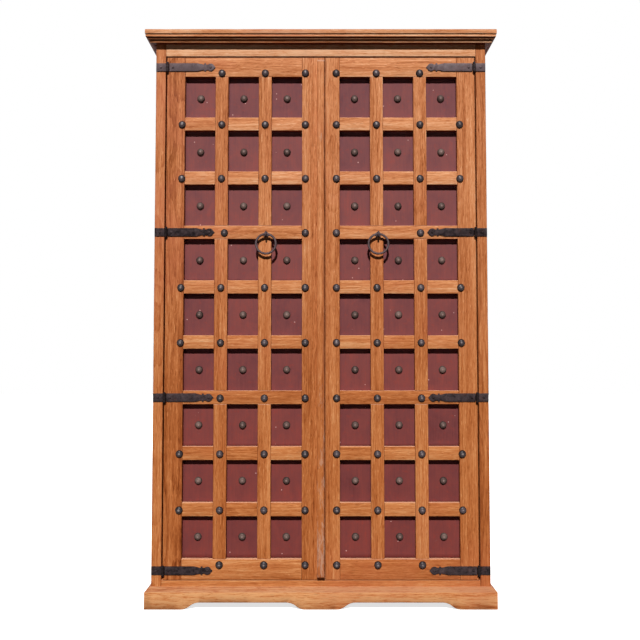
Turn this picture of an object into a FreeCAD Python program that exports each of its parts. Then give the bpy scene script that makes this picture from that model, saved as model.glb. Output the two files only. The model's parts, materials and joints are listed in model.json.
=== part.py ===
"""Two-door studded cupboard, in millimetres.

The frame: +Z up, the front faces -Y, and the origin lies under the middle of the whole cupboard.
Every piece is drawn with y = 0 on the case's front face, and its placement then carries it to its depth.
"""
import FreeCAD, Part
import Sketcher
import os
import re

Vector = FreeCAD.Vector
Rotation = FreeCAD.Rotation

# Driving dimensions
SIZES = {
    # The case
    "case_deep": 480.0,
    "post_wide": 34.0,
    "post_deep": 60.0,
    "back_post_deep": 45.0,
    "head_gap": 3.5,
    "foot_gap": 1.5,
    "head_show": 41.5,
    "sill_high": 50.0,
    "arris": 0.8,
    "overrun": 5.0,
    # The side frames and the back
    "side_thick": 22.0,
    "side_outer_skin": 6.0,
    "side_rail_high": 70.0,
    "back_rail_thick": 22.0,
    "back_board_thick": 12.0,
    "board_lap": 8.0,
    "board_play": 0.8,
    # The inside
    "shelf_thick": 18.0,
    "shelf_setback": 8.0,
    "shelf_play": 0.5,
    "cleat_wide": 20.0,
    "stop_wide": 20.0,
    "stop_high": 15.0,
    "stop_gap": 0.6,
    "catch_long": 50.0,
    "catch_high": 14.0,
    "catch_deep": 20.0,
    "catch_gap": 0.4,
    "catch_out": 40.0,
    "strike_thick": 1.2,
    "strike_long": 36.0,
    # The cornice and the cap
    "cornice_high": 25.7,
    "fillet_over": 18.4,
    "fillet_high": 4.2,
    "step_over": 25.0,
    "step_low": 9.6,
    "step_high": 12.0,
    "bead_back": 24.1,
    "bead_over": 31.0,
    "bead_low": 12.9,
    "bead_round": 5.6,
    "cap_over": 33.0,
    "cap_thick": 16.3,
    "cap_round": 4.0,
    # The plinth
    "plinth_thick": 19.0,
    "plinth_high": 71.0,
    "bevel_high": 15.0,
    "bevel_deep": 17.0,
    "foot_wide": 137.0,
    "mid_foot_wide": 136.0,
    "slant_run": 29.5,
    "arch_high": 23.0,
    "arch_round": 50.0,
    # The doors
    "door_low": 92.0,
    "door_gap": 4.0,
    "door_thick": 38.0,
    "meet_gap": 1.2,
    "meet_bevel": 1.6,
    "hinge_stile_wide": 63.0,
    "grid_inner": 64.5,
    "opening_wide": 104.0,
    "opening_high": 141.2,
    "muntin_wide": 45.0,
    "bar_high": 46.0,
    "top_rail_high": 68.2,
    "bottom_rail_high": 68.5,
    "recess": 18.0,
    "groove_wide": 10.0,
    "groove_deep": 8.0,
    "tongue_play": 0.5,
    "panel_play": 0.2,
    "panel_bite": 6.0,
    "strip_wide": 26.6,
    "strip_thick": 15.0,
    "strip_inset": 10.8,
    "strip_round": 3.0,
    "strip_end_round": 8.0,
    # The domed nails
    "clavo_radius": 13.0,
    "clavo_rim": 1.0,
    "clavo_dome": 8.0,
    "clavo_shank": 2.0,
    "clavo_shank_tip": 0.8,
    "clavo_shank_long": 14.0,
    "hinge_side_inset": 9.5,
    "meeting_side_inset": 11.5,
    "top_row_rise": 13.0,
    "bottom_row_drop": 19.0,
    "clavo_drop": 2.0,
    "shy_clavo_shift": 11.0,
    # The hinges
    "knuckle_radius": 5.0,
    "knuckle_lift": 0.5,
    "knuckle_play": 0.4,
    "notch_play": 0.6,
    "barrel_high": 33.0,
    "mid_knuckle_high": 13.0,
    "pin_radius": 2.5,
    "pin_play": 0.08,
    "pin_tail": 2.0,
    "pin_head_radius": 3.6,
    "pin_head_high": 1.2,
    "pin_inset": 2.0,
    "leaf_thick": 2.5,
    "leaf_high": 28.0,
    "leaf_inset": 0.6,
    "strap_thick": 3.0,
    "strap_half": 14.0,
    "strap_straight": 104.0,
    "strap_neck": 123.0,
    "neck_half": 9.5,
    "bead_centre": 129.0,
    "bead_half_wide": 3.2,
    "bead_half_high": 13.5,
    "head_centre": 148.0,
    "head_radius": 13.0,
    "tip_start": 155.0,
    "tip_half": 10.5,
    "strap_long": 165.0,
    "nail_radius": 4.2,
    "nail_rim": 0.6,
    "nail_dome": 2.2,
    "nail_shank": 1.6,
    "nail_shank_tip": 0.7,
    "nail_shank_long": 20.0,
    "nail_play": 0.1,
    "strap_nail": 18.0,
    "leaf_nail": 23.0,
    "top_hinge_drop": 35.0,
    "bottom_hinge_rise": 31.0,
    # The ring pulls
    "pull_drop": 8.0,
    "pull_shift": 4.5,
    "ring_radius": 33.5,
    "ring_wire": 4.0,
    "ring_stand": 14.0,
    "eye_hole": 5.0,
    "eye_wire": 3.0,
    "eye_shank": 3.2,
    "eye_shank_long": 28.0,
    "collar_radius": 9.5,
    "collar_thick": 2.5,
}

# Counts of the door grid, from the top down, and the rows that a continuous rail lies above
ROWS = 9
COLUMNS = 3
SECTIONS = 3
RAIL_ROWS = tuple(ROWS * number // SECTIONS for number in range(1, SECTIONS))
SHELVES = ("lower", "middle", "upper")
BACK_BOARDS = 6
SIDES = {"left": -1, "right": 1}

# Dimensions worked out from the driving ones
WORKED = {
    "face_depth": "(cap_over - case_deep) / 2",
    "back_post_front": "case_deep - back_post_deep",
    "grid_wide": f"{COLUMNS} * opening_wide + {COLUMNS - 1} * muntin_wide",
    "grid_outer": "grid_inner + grid_wide",
    "door_edge": "grid_outer + hinge_stile_wide",
    "inner_half": "door_edge + door_gap",
    "half_wide": "inner_half + post_wide",
    "case_wide": "2 * half_wide",
    "grid_low": "door_low + bottom_rail_high",
    "grid_top": f"grid_low + {ROWS} * opening_high + {ROWS - 1} * bar_high",
    "door_top": "grid_top + top_rail_high",
    "left_meeting": "strip_wide / 2",
    "right_meeting": "strip_wide / 2 + meet_gap",
    "head_low": "door_top + head_gap",
    "cornice_low": "head_low + head_show",
    "case_top": "cornice_low + cornice_high",
    "sill_top": "door_low - foot_gap",
    "sill_low": "sill_top - sill_high",
    "inner_high": "case_top - sill_top",
    "side_inner": "half_wide - side_thick",
    "side_groove_low": "half_wide - side_outer_skin - groove_wide",
    "side_groove_high": "half_wide - side_outer_skin",
    "side_middle": "(sill_low + case_top) / 2",
    "boards_front": "case_deep - back_board_thick",
    "back_rail_front": "boards_front - back_rail_thick",
    "shelf_front": "door_thick + shelf_setback",
    "stop_front": "door_thick + stop_gap",
    "pin_out": "knuckle_radius + knuckle_lift",
    "pin_across": "door_edge - pin_inset",
    "leaf_start": "pin_inset + door_gap / 4",
    "knuckle_clear": "knuckle_radius + notch_play",
    "tongue_long": "groove_deep - tongue_play",
    "top_hinge": "door_top - top_hinge_drop",
    "bottom_hinge": "door_low + bottom_hinge_rise",
}

doc = FreeCAD.newDocument("cupboard")
sheet = doc.addObject("Spreadsheet::Sheet", "sizes")
for line, (alias, size) in enumerate(SIZES.items(), 1):
    sheet.set(f"A{line}", alias)
    sheet.set(f"B{line}", str(size))
    sheet.setAlias(f"B{line}", alias)
doc.recompute()

WORD = re.compile(r"[a-z][a-z_0-9]*")
NODES = {}


def formula(text):
    """Turn named sizes into references to the sheet's cells."""
    def swap(match):
        word = match.group(0)
        if word in SIZES:
            return "sizes." + word
        if word in WORKED:
            return "(" + formula(WORKED[word]) + ")"
        return word
    return WORD.sub(swap, text)


def value(text):
    """The number that a formula gives."""
    found = sheet.evalExpression(formula(text))
    return float(getattr(found, "Value", found))


def place(item, spot, turn=None):
    """Bind an item's position to three formulas, after turning it."""
    if turn:
        item.Placement = FreeCAD.Placement(Vector(), Rotation(*turn))
    for axis, text in zip("xyz", spot):
        item.setExpression("Placement.Base." + axis, formula(text))


def keep(item, label, spot=("0", "0", "0"), turn=None):
    """Name a sub-part and carry it to its depth behind the front of the cornice."""
    item.Label = label
    place(item, (spot[0], "face_depth + " + spot[1], spot[2]), turn)
    NODES[label] = item
    return item


def span(side, low, high):
    """An interval measured outward from the middle, on the left or right side."""
    return (low, high) if SIDES[side] > 0 else (f"-({high})", f"-({low})")


def outward(side, text):
    """A distance measured outward from the middle, on the left or right side."""
    return text if SIDES[side] > 0 else f"-({text})"


# Building blocks

def box(name, across, deep, up):
    """A block between two formulas in each direction."""
    item = doc.addObject("Part::Box", name)
    for side, (low, high) in zip(("Length", "Width", "Height"), (across, deep, up)):
        item.setExpression(side, formula(f"({high}) - ({low})"))
    place(item, [low for low, high in (across, deep, up)])
    return item


def eased_front(name, across, up):
    """The front of a board as thick as its arris, with all four front edges bevelled."""
    item = doc.addObject("Part::Wedge", name)
    sizes = {"Ymin": "0", "Ymax": "arris"}
    for axis, (low, high) in (("X", across), ("Z", up)):
        sizes[axis + "min"] = f"({low}) + arris"
        sizes[axis + "max"] = f"({high}) - arris"
        sizes[axis + "2min"] = low
        sizes[axis + "2max"] = high
    for side, text in sizes.items():
        item.setExpression(side, formula(text))
    return item


def single(label, across, deep, up):
    """A sub-part that is one plain block."""
    item = box(label, across, deep, up)
    return keep(item, label, (across[0], deep[0], up[0]))


def cylinder(name, radius, high, spot=("0", "0", "0"), turn=None):
    item = doc.addObject("Part::Cylinder", name)
    item.setExpression("Radius", formula(radius))
    item.setExpression("Height", formula(high))
    place(item, spot, turn)
    return item


def cone(name, low_radius, high_radius, high, spot):
    item = doc.addObject("Part::Cone", name)
    item.setExpression("Radius1", formula(low_radius))
    item.setExpression("Radius2", formula(high_radius))
    item.setExpression("Height", formula(high))
    place(item, spot)
    return item


def torus(name, radius, wire, spot, turn):
    item = doc.addObject("Part::Torus", name)
    item.setExpression("Radius1", formula(radius))
    item.setExpression("Radius2", formula(wire))
    place(item, spot, turn)
    return item


def fuse(name, shapes):
    item = doc.addObject("Part::MultiFuse", name)
    item.Shapes = shapes
    item.Refine = True
    return item


def cut(name, base, tool):
    item = doc.addObject("Part::Cut", name)
    item.Base = base
    item.Tool = tool
    return item


def group(label, shapes):
    """Separate solids that share one node."""
    item = doc.addObject("Part::Compound", label)
    item.Links = shapes
    return keep(item, label)


def copies(label, master, spots, turn=None):
    """Separate solids of one shape, one at each spot."""
    links = []
    for number, spot in enumerate(spots, 1):
        link = doc.addObject("App::Link", f"{label}_{number}")
        link.LinkedObject = master
        place(link, spot, turn)
        links.append(link)
    return links


def board(name, across, deep, up):
    """A board whose front edges are eased."""
    front = eased_front(name + "_front", across, up)
    rest = box(name + "_rest", across, (f"{deep[0]} + arris", deep[1]), up)
    return fuse(name, [front, rest])


def grooved(name, across, up, web_across, web_up):
    """A door member in three layers: the middle one gives its grooves and its tongues."""
    behind = "recess + groove_wide"
    layers = [
        eased_front(name + "_arris", across, up),
        box(name + "_face", across, ("arris", "recess"), up),
        box(name + "_web", web_across, ("recess", behind), web_up),
        box(name + "_back", across, (behind, "door_thick"), up),
    ]
    return fuse(name, layers)


# Sketched bodies

def sketch(body, name, role, corners, offset=None):
    """A closed outline of straight lines on one of the body's own planes."""
    plane = [item for item in body.Origin.OriginFeatures if item.Role == role][0]
    item = body.newObject("Sketcher::SketchObject", name)
    item.AttachmentSupport = [(plane, "")]
    item.MapMode = "FlatFace"
    if offset:
        item.setExpression("AttachmentOffset.Base.z", formula(offset))
    places = [Vector(value(across), value(up), 0) for across, up in corners]
    total = len(places)
    for number, start in enumerate(places):
        item.addGeometry(Part.LineSegment(start, places[(number + 1) % total]), False)
    for number in range(total):
        item.addConstraint(Sketcher.Constraint("Coincident", number, 2, (number + 1) % total, 1))
    for number, corner in enumerate(corners):
        for kind, text, reach in zip(("DistanceX", "DistanceY"), corner, places[number]):
            tie(item, Sketcher.Constraint(kind, -1, 1, number, 1, reach), f"{kind}_{number}", text)
    return item


def tie(item, constraint, name, text):
    """Add a sketch constraint and bind it to a formula."""
    number = item.addConstraint(constraint)
    item.renameConstraint(number, name)
    item.setExpression("Constraints." + name, formula(text))


def disc_sketch(body, name, role, discs, offset=None):
    """One or more circles on one of the body's own planes, as (across, up, radius)."""
    plane = [item for item in body.Origin.OriginFeatures if item.Role == role][0]
    item = body.newObject("Sketcher::SketchObject", name)
    item.AttachmentSupport = [(plane, "")]
    item.MapMode = "FlatFace"
    if offset:
        item.setExpression("AttachmentOffset.Base.z", formula(offset))
    for number, (across, up, radius) in enumerate(discs):
        centre = Vector(value(across), value(up), 0)
        item.addGeometry(Part.Circle(centre, Vector(0, 0, 1), value(radius)), False)
        tie(item, Sketcher.Constraint("DistanceX", -1, 1, number, 3, centre.x), f"across_{number}", across)
        tie(item, Sketcher.Constraint("DistanceY", -1, 1, number, 3, centre.y), f"up_{number}", up)
        tie(item, Sketcher.Constraint("Radius", number, value(radius)), f"radius_{number}", radius)
    return item


def pad(body, outline, long, middle=False):
    item = body.newObject("PartDesign::Pad", outline.Name + "_pad")
    item.Profile = outline
    item.setExpression("Length", formula(long))
    if middle:
        item.SideType = "Symmetric"
    return item


def pocket(body, outline):
    """Cut an outline right through the body, both ways."""
    doc.recompute()
    before = body.Shape.Volume
    item = body.newObject("PartDesign::Pocket", outline.Name + "_pocket")
    item.Profile = outline
    item.Type = "ThroughAll"
    item.SideType = "Symmetric"
    doc.recompute()
    if not body.Shape.Volume < before:
        raise RuntimeError(f"{item.Name} cuts nothing")
    return item


def rounding(body, name, radius, wanted):
    """Round every edge of the body that wanted accepts."""
    doc.recompute()
    edges = [f"Edge{number}" for number, edge in enumerate(body.Shape.Edges, 1) if wanted(edge)]
    if not edges:
        raise RuntimeError(f"{name} finds no edge")
    base = body.Tip
    item = body.newObject("PartDesign::Fillet", name)
    item.Base = (base, edges)
    item.setExpression("Radius", formula(radius))
    return item


def runs_along(edge, axis):
    """Whether a straight edge runs along x, y or z."""
    if edge.isClosed():
        return False
    first, last = (vertex.Point for vertex in edge.Vertexes)
    way = last - first
    others = [getattr(way, other) for other in "xyz" if other != axis]
    return abs(getattr(way, axis)) > 0 and max(map(abs, others)) < way.Length * 1e-6


def middle_of(edge):
    return edge.BoundBox.Center


def near(found, text):
    """Whether a number lies at a formula's value."""
    return abs(found - value(text)) < value("arris") / 10


# The case

def make_posts():
    for side in SIDES:
        across = span(side, "inner_half", "half_wide")
        groove = span(side, "side_groove_low", "side_groove_high")
        up = ("0", "case_top")
        blank = board(f"front_post_blank_{side}", across, ("0", "post_deep"), up)
        slot = box(f"front_post_slot_{side}", groove, ("post_deep - groove_deep", "post_deep + overrun"),
                   ("sill_low", "case_top + overrun"))
        keep(cut(f"post_front_{side}", blank, slot), f"post_front_{side}")
        blank = box(f"back_post_blank_{side}", across, ("back_post_front", "case_deep"), up)
        slot = box(f"back_post_slot_{side}", groove,
                   ("back_post_front - overrun", "back_post_front + groove_deep"),
                   ("sill_low", "case_top + overrun"))
        keep(cut(f"post_back_{side}", blank, slot), f"post_back_{side}")


def make_face_rails():
    across = ("-inner_half", "inner_half")
    keep(board("face_rail_top", across, ("0", "post_deep"), ("head_low", "case_top")), "face_rail_top")
    keep(board("face_rail_bottom", across, ("0", "post_deep"), ("sill_low", "sill_top")),
         "face_rail_bottom")


def make_side_frames():
    """Three rails and two panels a side, with tongues in the grooves of the posts."""
    half = "side_rail_high / 2"
    levels = (
        ("sill_low", "sill_low + side_rail_high", "0", "groove_deep"),
        (f"side_middle - {half}", f"side_middle + {half}", "groove_deep", "groove_deep"),
        ("case_top - side_rail_high", "case_top", "groove_deep", "0"),
    )
    deep = ("post_deep", "back_post_front")
    reach = ("post_deep - tongue_long", "back_post_front + tongue_long")
    rails = []
    panels = []
    for side in SIDES:
        skins = (span(side, "side_inner", "side_groove_low"), span(side, "side_groove_high", "half_wide"))
        web = span(side, "side_groove_low", "side_groove_high")
        for number, (low, high, below, above) in enumerate(levels):
            name = f"side_rail_{side}_{number}"
            layers = [box(f"{name}_skin_{layer}", skin, deep, (low, high)) for layer, skin in enumerate(skins)]
            layers.append(box(f"{name}_web", web, reach, (f"{low} + {below}", f"{high} - {above}")))
            rails.append(fuse(name, layers))
        thick = span(side, "side_groove_low + panel_play", "side_groove_high - panel_play")
        bite = ("post_deep - panel_bite", "back_post_front + panel_bite")
        for number in range(len(levels) - 1):
            low = f"{levels[number][1]} - panel_bite"
            high = f"{levels[number + 1][0]} + panel_bite"
            panels.append(box(f"side_panel_{side}_{number}", thick, bite, (low, high)))
    group("side_rails", rails)
    group("side_panels", panels)


def make_back():
    """Vertical boards lapped over each other and nailed to two rails and the shelves."""
    across = ("-inner_half", "inner_half")
    deep = ("back_rail_front", "boards_front")
    rails = [
        box("back_rail_low", across, deep, ("sill_low", "sill_low + side_rail_high")),
        box("back_rail_high", across, deep, ("case_top - side_rail_high", "case_top")),
    ]
    group("back_rails", rails)
    boards = []
    up = ("sill_low", "case_top")
    middle = "boards_front + back_board_thick / 2"
    for number in range(BACK_BOARDS):
        low = f"-inner_half + 2 * inner_half * {number} / {BACK_BOARDS}"
        high = f"-inner_half + 2 * inner_half * {number + 1} / {BACK_BOARDS}"
        under = low if number == 0 else f"{low} + board_lap + board_play"
        over = high if number == BACK_BOARDS - 1 else f"{high} + board_lap"
        name = f"back_board_{number}"
        halves = [
            box(name + "_inner", (low, high), ("boards_front", middle), up),
            box(name + "_outer", (under, over), (middle, "case_deep"), up),
        ]
        boards.append(fuse(name, halves))
    group("back_boards", boards)


def make_inside():
    """The floor board, the shelves, their cleats, the door stops and the magnet catches."""
    half = "(inner_half - shelf_play)"
    across = (f"-{half}", half)
    floor = ("sill_top - shelf_thick", "sill_top")
    single("floor_board", across, ("post_deep", "back_rail_front"), floor)
    cleat_levels = [("post_deep", "back_rail_front", floor[0])]
    for number, name in enumerate(SHELVES, 1):
        low = f"sill_top + inner_high * {number} / {len(SHELVES) + 1}"
        deep = ("shelf_front", "boards_front")
        single(f"shelf_{name}", across, deep, (low, f"{low} + shelf_thick"))
        cleat_levels.append((*deep, low))
    cleats = []
    for side in SIDES:
        edge = span(side, "inner_half - cleat_wide", "inner_half")
        for number, (front, back, top) in enumerate(cleat_levels):
            up = (f"{top} - cleat_wide", top)
            cleats.append(box(f"cleat_{side}_{number}", edge, (front, back), up))
    group("shelf_cleats", cleats)
    make_stops()


def make_stops():
    across = ("-inner_half", "inner_half")
    deep = ("stop_front", "stop_front + stop_wide")
    stops = [
        box("stop_top", across, deep, ("head_low - stop_high", "head_low")),
        box("stop_bottom", across, deep, ("sill_top", "sill_top + stop_high")),
    ]
    group("door_stops", stops)
    catches = []
    top = "head_low - stop_high"
    front = "door_thick + strike_thick + catch_gap"
    for side in SIDES:
        edge = span(side, "catch_out - catch_long / 2", "catch_out + catch_long / 2")
        catches.append(box(f"catch_{side}", edge, (front, f"{front} + catch_deep"), (f"{top} - catch_high", top)))
    group("magnet_catches", catches)


def make_cap():
    body = doc.addObject("PartDesign::Body", "top_board")
    half = "(half_wide + cap_over)"
    corners = ((f"-{half}", "-cap_over"), (half, "-cap_over"), (half, "case_deep"), (f"-{half}", "case_deep"))
    pad(body, sketch(body, "cap_outline", "XY_Plane", corners), "cap_thick")

    def top_edge(edge):
        spot = middle_of(edge)
        return near(spot.z, "cap_thick") and not near(spot.y, "case_deep")

    rounding(body, "cap_edges", "cap_round", top_edge)
    keep(body, "top_board", ("0", "0", "case_top"))


def moulding(name, profile, long, mitres, over):
    """A run of a profile along +X, its back on y = 0, mitred at the ends that mitres names."""
    body = doc.addObject("PartDesign::Body", name)
    low = f"-({over})" if "low" in mitres else "0"
    high = f"{long} + {over}" if "high" in mitres else long
    corners = [(f"-({out})", up) for out, up in profile]
    outline = sketch(body, name + "_profile", "YZ_Plane", corners, low)
    pad(body, outline, f"({high}) - ({low})")
    return body


def mitre(body, long, mitres, over):
    """Cut the ends that meet a neighbour at 45 degrees."""
    reach = f"({over} + overrun)"
    if "low" in mitres:
        corners = (("0", "0"), ("0", "overrun"), (f"-{reach}", "overrun"), (f"-{reach}", f"-{reach}"))
        pocket(body, sketch(body, body.Name + "_mitre_low", "XY_Plane", corners))
    if "high" in mitres:
        corners = (
            (long, "0"),
            (long, "overrun"),
            (f"{long} + {reach}", "overrun"),
            (f"{long} + {reach}", f"-{reach}"),
        )
        pocket(body, sketch(body, body.Name + "_mitre_high", "XY_Plane", corners))


# Where each run of moulding starts, and how it turns: (name, length, mitred ends, spot, angle)
def runs(kind):
    return (
        (f"{kind}_front", "case_wide", ("low", "high"), ("-half_wide", "0", "0"), 0),
        (f"{kind}_left", "case_deep", ("high",), ("-half_wide", "case_deep", "0"), -90),
        (f"{kind}_right", "case_deep", ("low",), ("half_wide", "0", "0"), 90),
    )


def make_cornice():
    profile = (
        ("0", "0"),
        ("fillet_over", "0"),
        ("fillet_over", "fillet_high"),
        ("(fillet_over + step_over) / 2", "step_low"),
        ("step_over", "step_low"),
        ("step_over", "step_high"),
        ("bead_back", "bead_low"),
        ("bead_over", "bead_low"),
        ("bead_over", "cornice_high"),
        ("0", "cornice_high"),
    )

    def bead_edge(edge):
        spot = middle_of(edge)
        level = near(spot.z, "bead_low") or near(spot.z, "cornice_high")
        return runs_along(edge, "x") and level and near(spot.y, "-bead_over")

    for name, long, mitres, spot, angle in runs("cornice"):
        body = moulding(name, profile, long, mitres, "bead_over")
        rounding(body, name + "_bead", "bead_round", bead_edge)
        mitre(body, long, mitres, "bead_over")
        keep(body, name, (spot[0], spot[1], "cornice_low"), (Vector(0, 0, 1), angle))


def make_plinth():
    """Boards with bevelled tops, mitred corners and bracket feet."""
    profile = (
        ("0", "0"),
        ("plinth_thick", "0"),
        ("plinth_thick", "plinth_high - bevel_high"),
        ("plinth_thick - bevel_deep", "plinth_high"),
        ("0", "plinth_high"),
    )
    low_end = "foot_wide - plinth_thick"
    middle = "(case_wide - mid_foot_wide) / 2"
    arches = {
        "plinth_front": ((low_end, middle), (f"case_wide - {middle}", f"case_wide - ({low_end})")),
        "plinth_left": ((low_end, f"case_deep - ({low_end})"),),
        "plinth_right": ((low_end, f"case_deep - ({low_end})"),),
    }

    for name, long, mitres, spot, angle in runs("plinth"):
        body = moulding(name, profile, long, mitres, "plinth_thick")
        for number, (low, high) in enumerate(arches[name]):
            corners = (
                (low, "0"),
                (f"{low} - overrun * slant_run / arch_high", "-overrun"),
                (f"{high} + overrun * slant_run / arch_high", "-overrun"),
                (high, "0"),
                (f"{high} - slant_run", "arch_high"),
                (f"{low} + slant_run", "arch_high"),
            )
            pocket(body, sketch(body, f"{name}_arch_{number}", "XZ_Plane", corners))
        ends = [value(text) for arch in arches[name] for text in arch]

        def arch_edge(edge):
            spot = middle_of(edge)
            level = near(spot.z, "0") or near(spot.z, "arch_high")
            inside = min(ends) - value("arris") < spot.x < max(ends) + value("arris")
            return runs_along(edge, "y") and level and inside

        rounding(body, name + "_curves", "arch_round", arch_edge)
        mitre(body, long, mitres, "plinth_thick")
        keep(body, name, spot, (Vector(0, 0, 1), angle))
    across = ("-inner_half", "inner_half")
    single("plinth_back", across, ("case_deep - plinth_thick", "case_deep"), ("0", "sill_low"))


# The doors

def row_top(row):
    """The top of an opening, counted from the top down from 0."""
    return f"grid_top - {row} * (opening_high + bar_high)"


def bar_middle(row):
    """The middle of the bar above an opening."""
    return f"grid_top - {row} * (opening_high + bar_high) + bar_high / 2"


def column_low(column):
    """The edge of an opening nearest the middle of the cupboard."""
    return f"grid_inner + {column} * (opening_wide + muntin_wide)"


def muntin_middle(column):
    """The middle of the muntin outside an opening."""
    return f"grid_inner + {column + 1} * (opening_wide + muntin_wide) - muntin_wide / 2"


def start(side, low, wide):
    """Where a piece begins in x, measured outward on the left or right side."""
    return low if SIDES[side] > 0 else f"-({low} + {wide})"


def make_stiles(side):
    up = ("door_low", "door_top")
    across = span(side, "grid_outer", "door_edge")
    web = span(side, "grid_outer + groove_deep", "door_edge")
    keep(grooved(f"{side}_hinge_stile", across, up, web, up), f"{side}_hinge_stile")
    if side == "left":
        across = ("-grid_inner", "left_meeting")
        web = ("-grid_inner + groove_deep", "left_meeting")
    else:
        across = ("right_meeting", "grid_inner")
        web = ("right_meeting", "grid_inner - groove_deep")
    stile = grooved(f"{side}_meeting_stile", across, up, web, up)
    keep(relieved(side, stile), f"{side}_meeting_stile")


def relieved(side, stile):
    """Plane the meeting edge back toward the rear, so that each door swings clear of the other."""
    way, back_way = ("+", "-") if side == "left" else ("-", "+")
    edge = f"{side}_meeting"
    rear = f"{edge} {back_way} meet_bevel"
    beyond = f"{edge} {way} overrun"
    corners = (
        (edge, "0"),
        (rear, "door_thick"),
        (rear, "door_thick + overrun"),
        (beyond, "door_thick + overrun"),
        (beyond, "0"),
    )
    body = doc.addObject("PartDesign::Body", f"{side}_meeting_relief")
    outline = sketch(body, f"{side}_relief_outline", "XY_Plane", corners, "door_low - overrun")
    pad(body, outline, "door_top - door_low + 2 * overrun")
    return cut(f"{side}_relieved_stile", stile, body)


def make_rails(side):
    across = span(side, "grid_inner", "grid_outer")
    web = span(side, "grid_inner - tongue_long", "grid_outer + tongue_long")
    top = grooved(f"{side}_top_rail", across, ("grid_top", "door_top"), web,
                  ("grid_top + groove_deep", "door_top"))
    keep(top, f"{side}_top_rail")
    bottom = grooved(f"{side}_bottom_rail", across, ("door_low", "grid_low"), web,
                     ("door_low", "grid_low - groove_deep"))
    keep(bottom, f"{side}_bottom_rail")
    mids = []
    for row in RAIL_ROWS:
        middle = bar_middle(row)
        up = (f"{middle} - bar_high / 2", f"{middle} + bar_high / 2")
        web_up = (f"{up[0]} + groove_deep", f"{up[1]} - groove_deep")
        mids.append(grooved(f"{side}_mid_rail_{row}", across, up, web, web_up))
    group(f"{side}_mid_rails", mids)


def make_muntin_master():
    """An upright between two continuous rails, standing on z = 0."""
    rows = ROWS // SECTIONS
    high = f"{rows} * opening_high + {rows - 1} * bar_high"
    return grooved("muntin", ("0", "muntin_wide"), ("0", high),
                   ("groove_deep", "muntin_wide - groove_deep"),
                   ("-tongue_long", f"{high} + tongue_long"))


def make_crossbar_master():
    """A short bar between two uprights, standing on z = 0."""
    return grooved("crossbar", ("0", "opening_wide"), ("0", "bar_high"),
                   ("-tongue_long", "opening_wide + tongue_long"),
                   ("groove_deep", "bar_high - groove_deep"))


def make_panel_master():
    """A panel as large as an opening and its bite into the grooves all round."""
    return box("panel", ("0", "opening_wide + 2 * panel_bite"), ("0", "groove_wide - 2 * panel_play"),
               ("0", "opening_high + 2 * panel_bite"))


def make_grid(side, muntin, crossbar, panel):
    """The uprights, the short bars and the panels of one door."""
    muntin_spots = []
    for column in range(COLUMNS - 1):
        low = f"({muntin_middle(column)}) - muntin_wide / 2"
        for row in (*RAIL_ROWS, ROWS):
            muntin_spots.append((start(side, low, "muntin_wide"), "0", f"{row_top(row)} + bar_high"))
    group(f"{side}_muntins", copies(f"{side}_muntin", muntin, muntin_spots))
    bar_spots = []
    panel_spots = []
    for column in range(COLUMNS):
        across = start(side, column_low(column), "opening_wide")
        for row in range(ROWS):
            low = f"{row_top(row)} - opening_high - panel_bite"
            panel_spots.append((f"{across} - panel_bite", "recess + panel_play", low))
            if row > 0 and row not in RAIL_ROWS:
                bar_spots.append((across, "0", row_top(row)))
    group(f"{side}_crossbars", copies(f"{side}_crossbar", crossbar, bar_spots))
    group(f"{side}_panels", copies(f"{side}_panel", panel, panel_spots))


def make_strip():
    """The strip over the joint, fixed to the left door."""
    body = doc.addObject("PartDesign::Body", "meeting_strip")
    corners = (
        ("-strip_wide / 2", "door_low + strip_inset"),
        ("strip_wide / 2", "door_low + strip_inset"),
        ("strip_wide / 2", "door_top - strip_inset"),
        ("-strip_wide / 2", "door_top - strip_inset"),
    )
    pad(body, sketch(body, "strip_outline", "XZ_Plane", corners), "strip_thick")

    def top_edge(edge):
        spot = middle_of(edge)
        return runs_along(edge, "x") and near(spot.y, "-strip_thick") and near(spot.z, "door_top - strip_inset")

    def long_edge(edge):
        return runs_along(edge, "z") and near(middle_of(edge).y, "-strip_thick")

    rounding(body, "strip_end", "strip_end_round", top_edge)
    rounding(body, "strip_edges", "strip_round", long_edge)
    keep(body, "meeting_strip")


# The iron

def make_stud(name, radius, rim, dome, shank, tip, long):
    """A domed nail standing on z = 0 with its shank below."""
    ball = f"(({radius})^2 + ({dome})^2) / (2 * {dome})"
    cap = doc.addObject("Part::Sphere", name + "_dome")
    cap.setExpression("Radius", formula(ball))
    cap.setExpression("Angle1", formula(f"asin(1 - {dome} / ({ball}))"))
    place(cap, ("0", "0", f"{rim} + {dome} - {ball}"))
    shapes = [
        cap,
        cylinder(name + "_rim", radius, rim),
        cone(name + "_shank", tip, shank, long, ("0", "0", f"-{long}")),
    ]
    return fuse(name, shapes)


FORWARD = (Vector(1, 0, 0), 90)

# On this door the stud between the strap's tip and the ring stands nearer the ring
SHY_SIDE = "left"


def clavo_spots(side):
    """The studs on the grid: none under a strap or behind a ring."""
    spots = []
    columns = [outward(side, muntin_middle(column)) for column in range(COLUMNS - 1)]
    hinge_side = outward(side, "grid_outer + hinge_side_inset")
    meeting_side = outward(side, "grid_inner - meeting_side_inset")
    levels = ["grid_top + top_row_rise"]
    levels += [f"{bar_middle(row)} - clavo_drop" for row in range(1, ROWS)]
    levels += ["grid_low - bottom_row_drop"]
    for row, level in enumerate(levels):
        strapped = row in (0, ROWS) or row in RAIL_ROWS
        ringed = row == RAIL_ROWS[0]
        shy = ringed and side == SHY_SIDE
        inner, outer = columns
        spots.append((meeting_side, "0", level))
        if not ringed:
            spots.append((inner, "0", level))
        spots.append((f"{outer} + shy_clavo_shift" if shy else outer, "0", level))
        if not strapped:
            spots.append((hinge_side, "0", level))
    return spots


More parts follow.
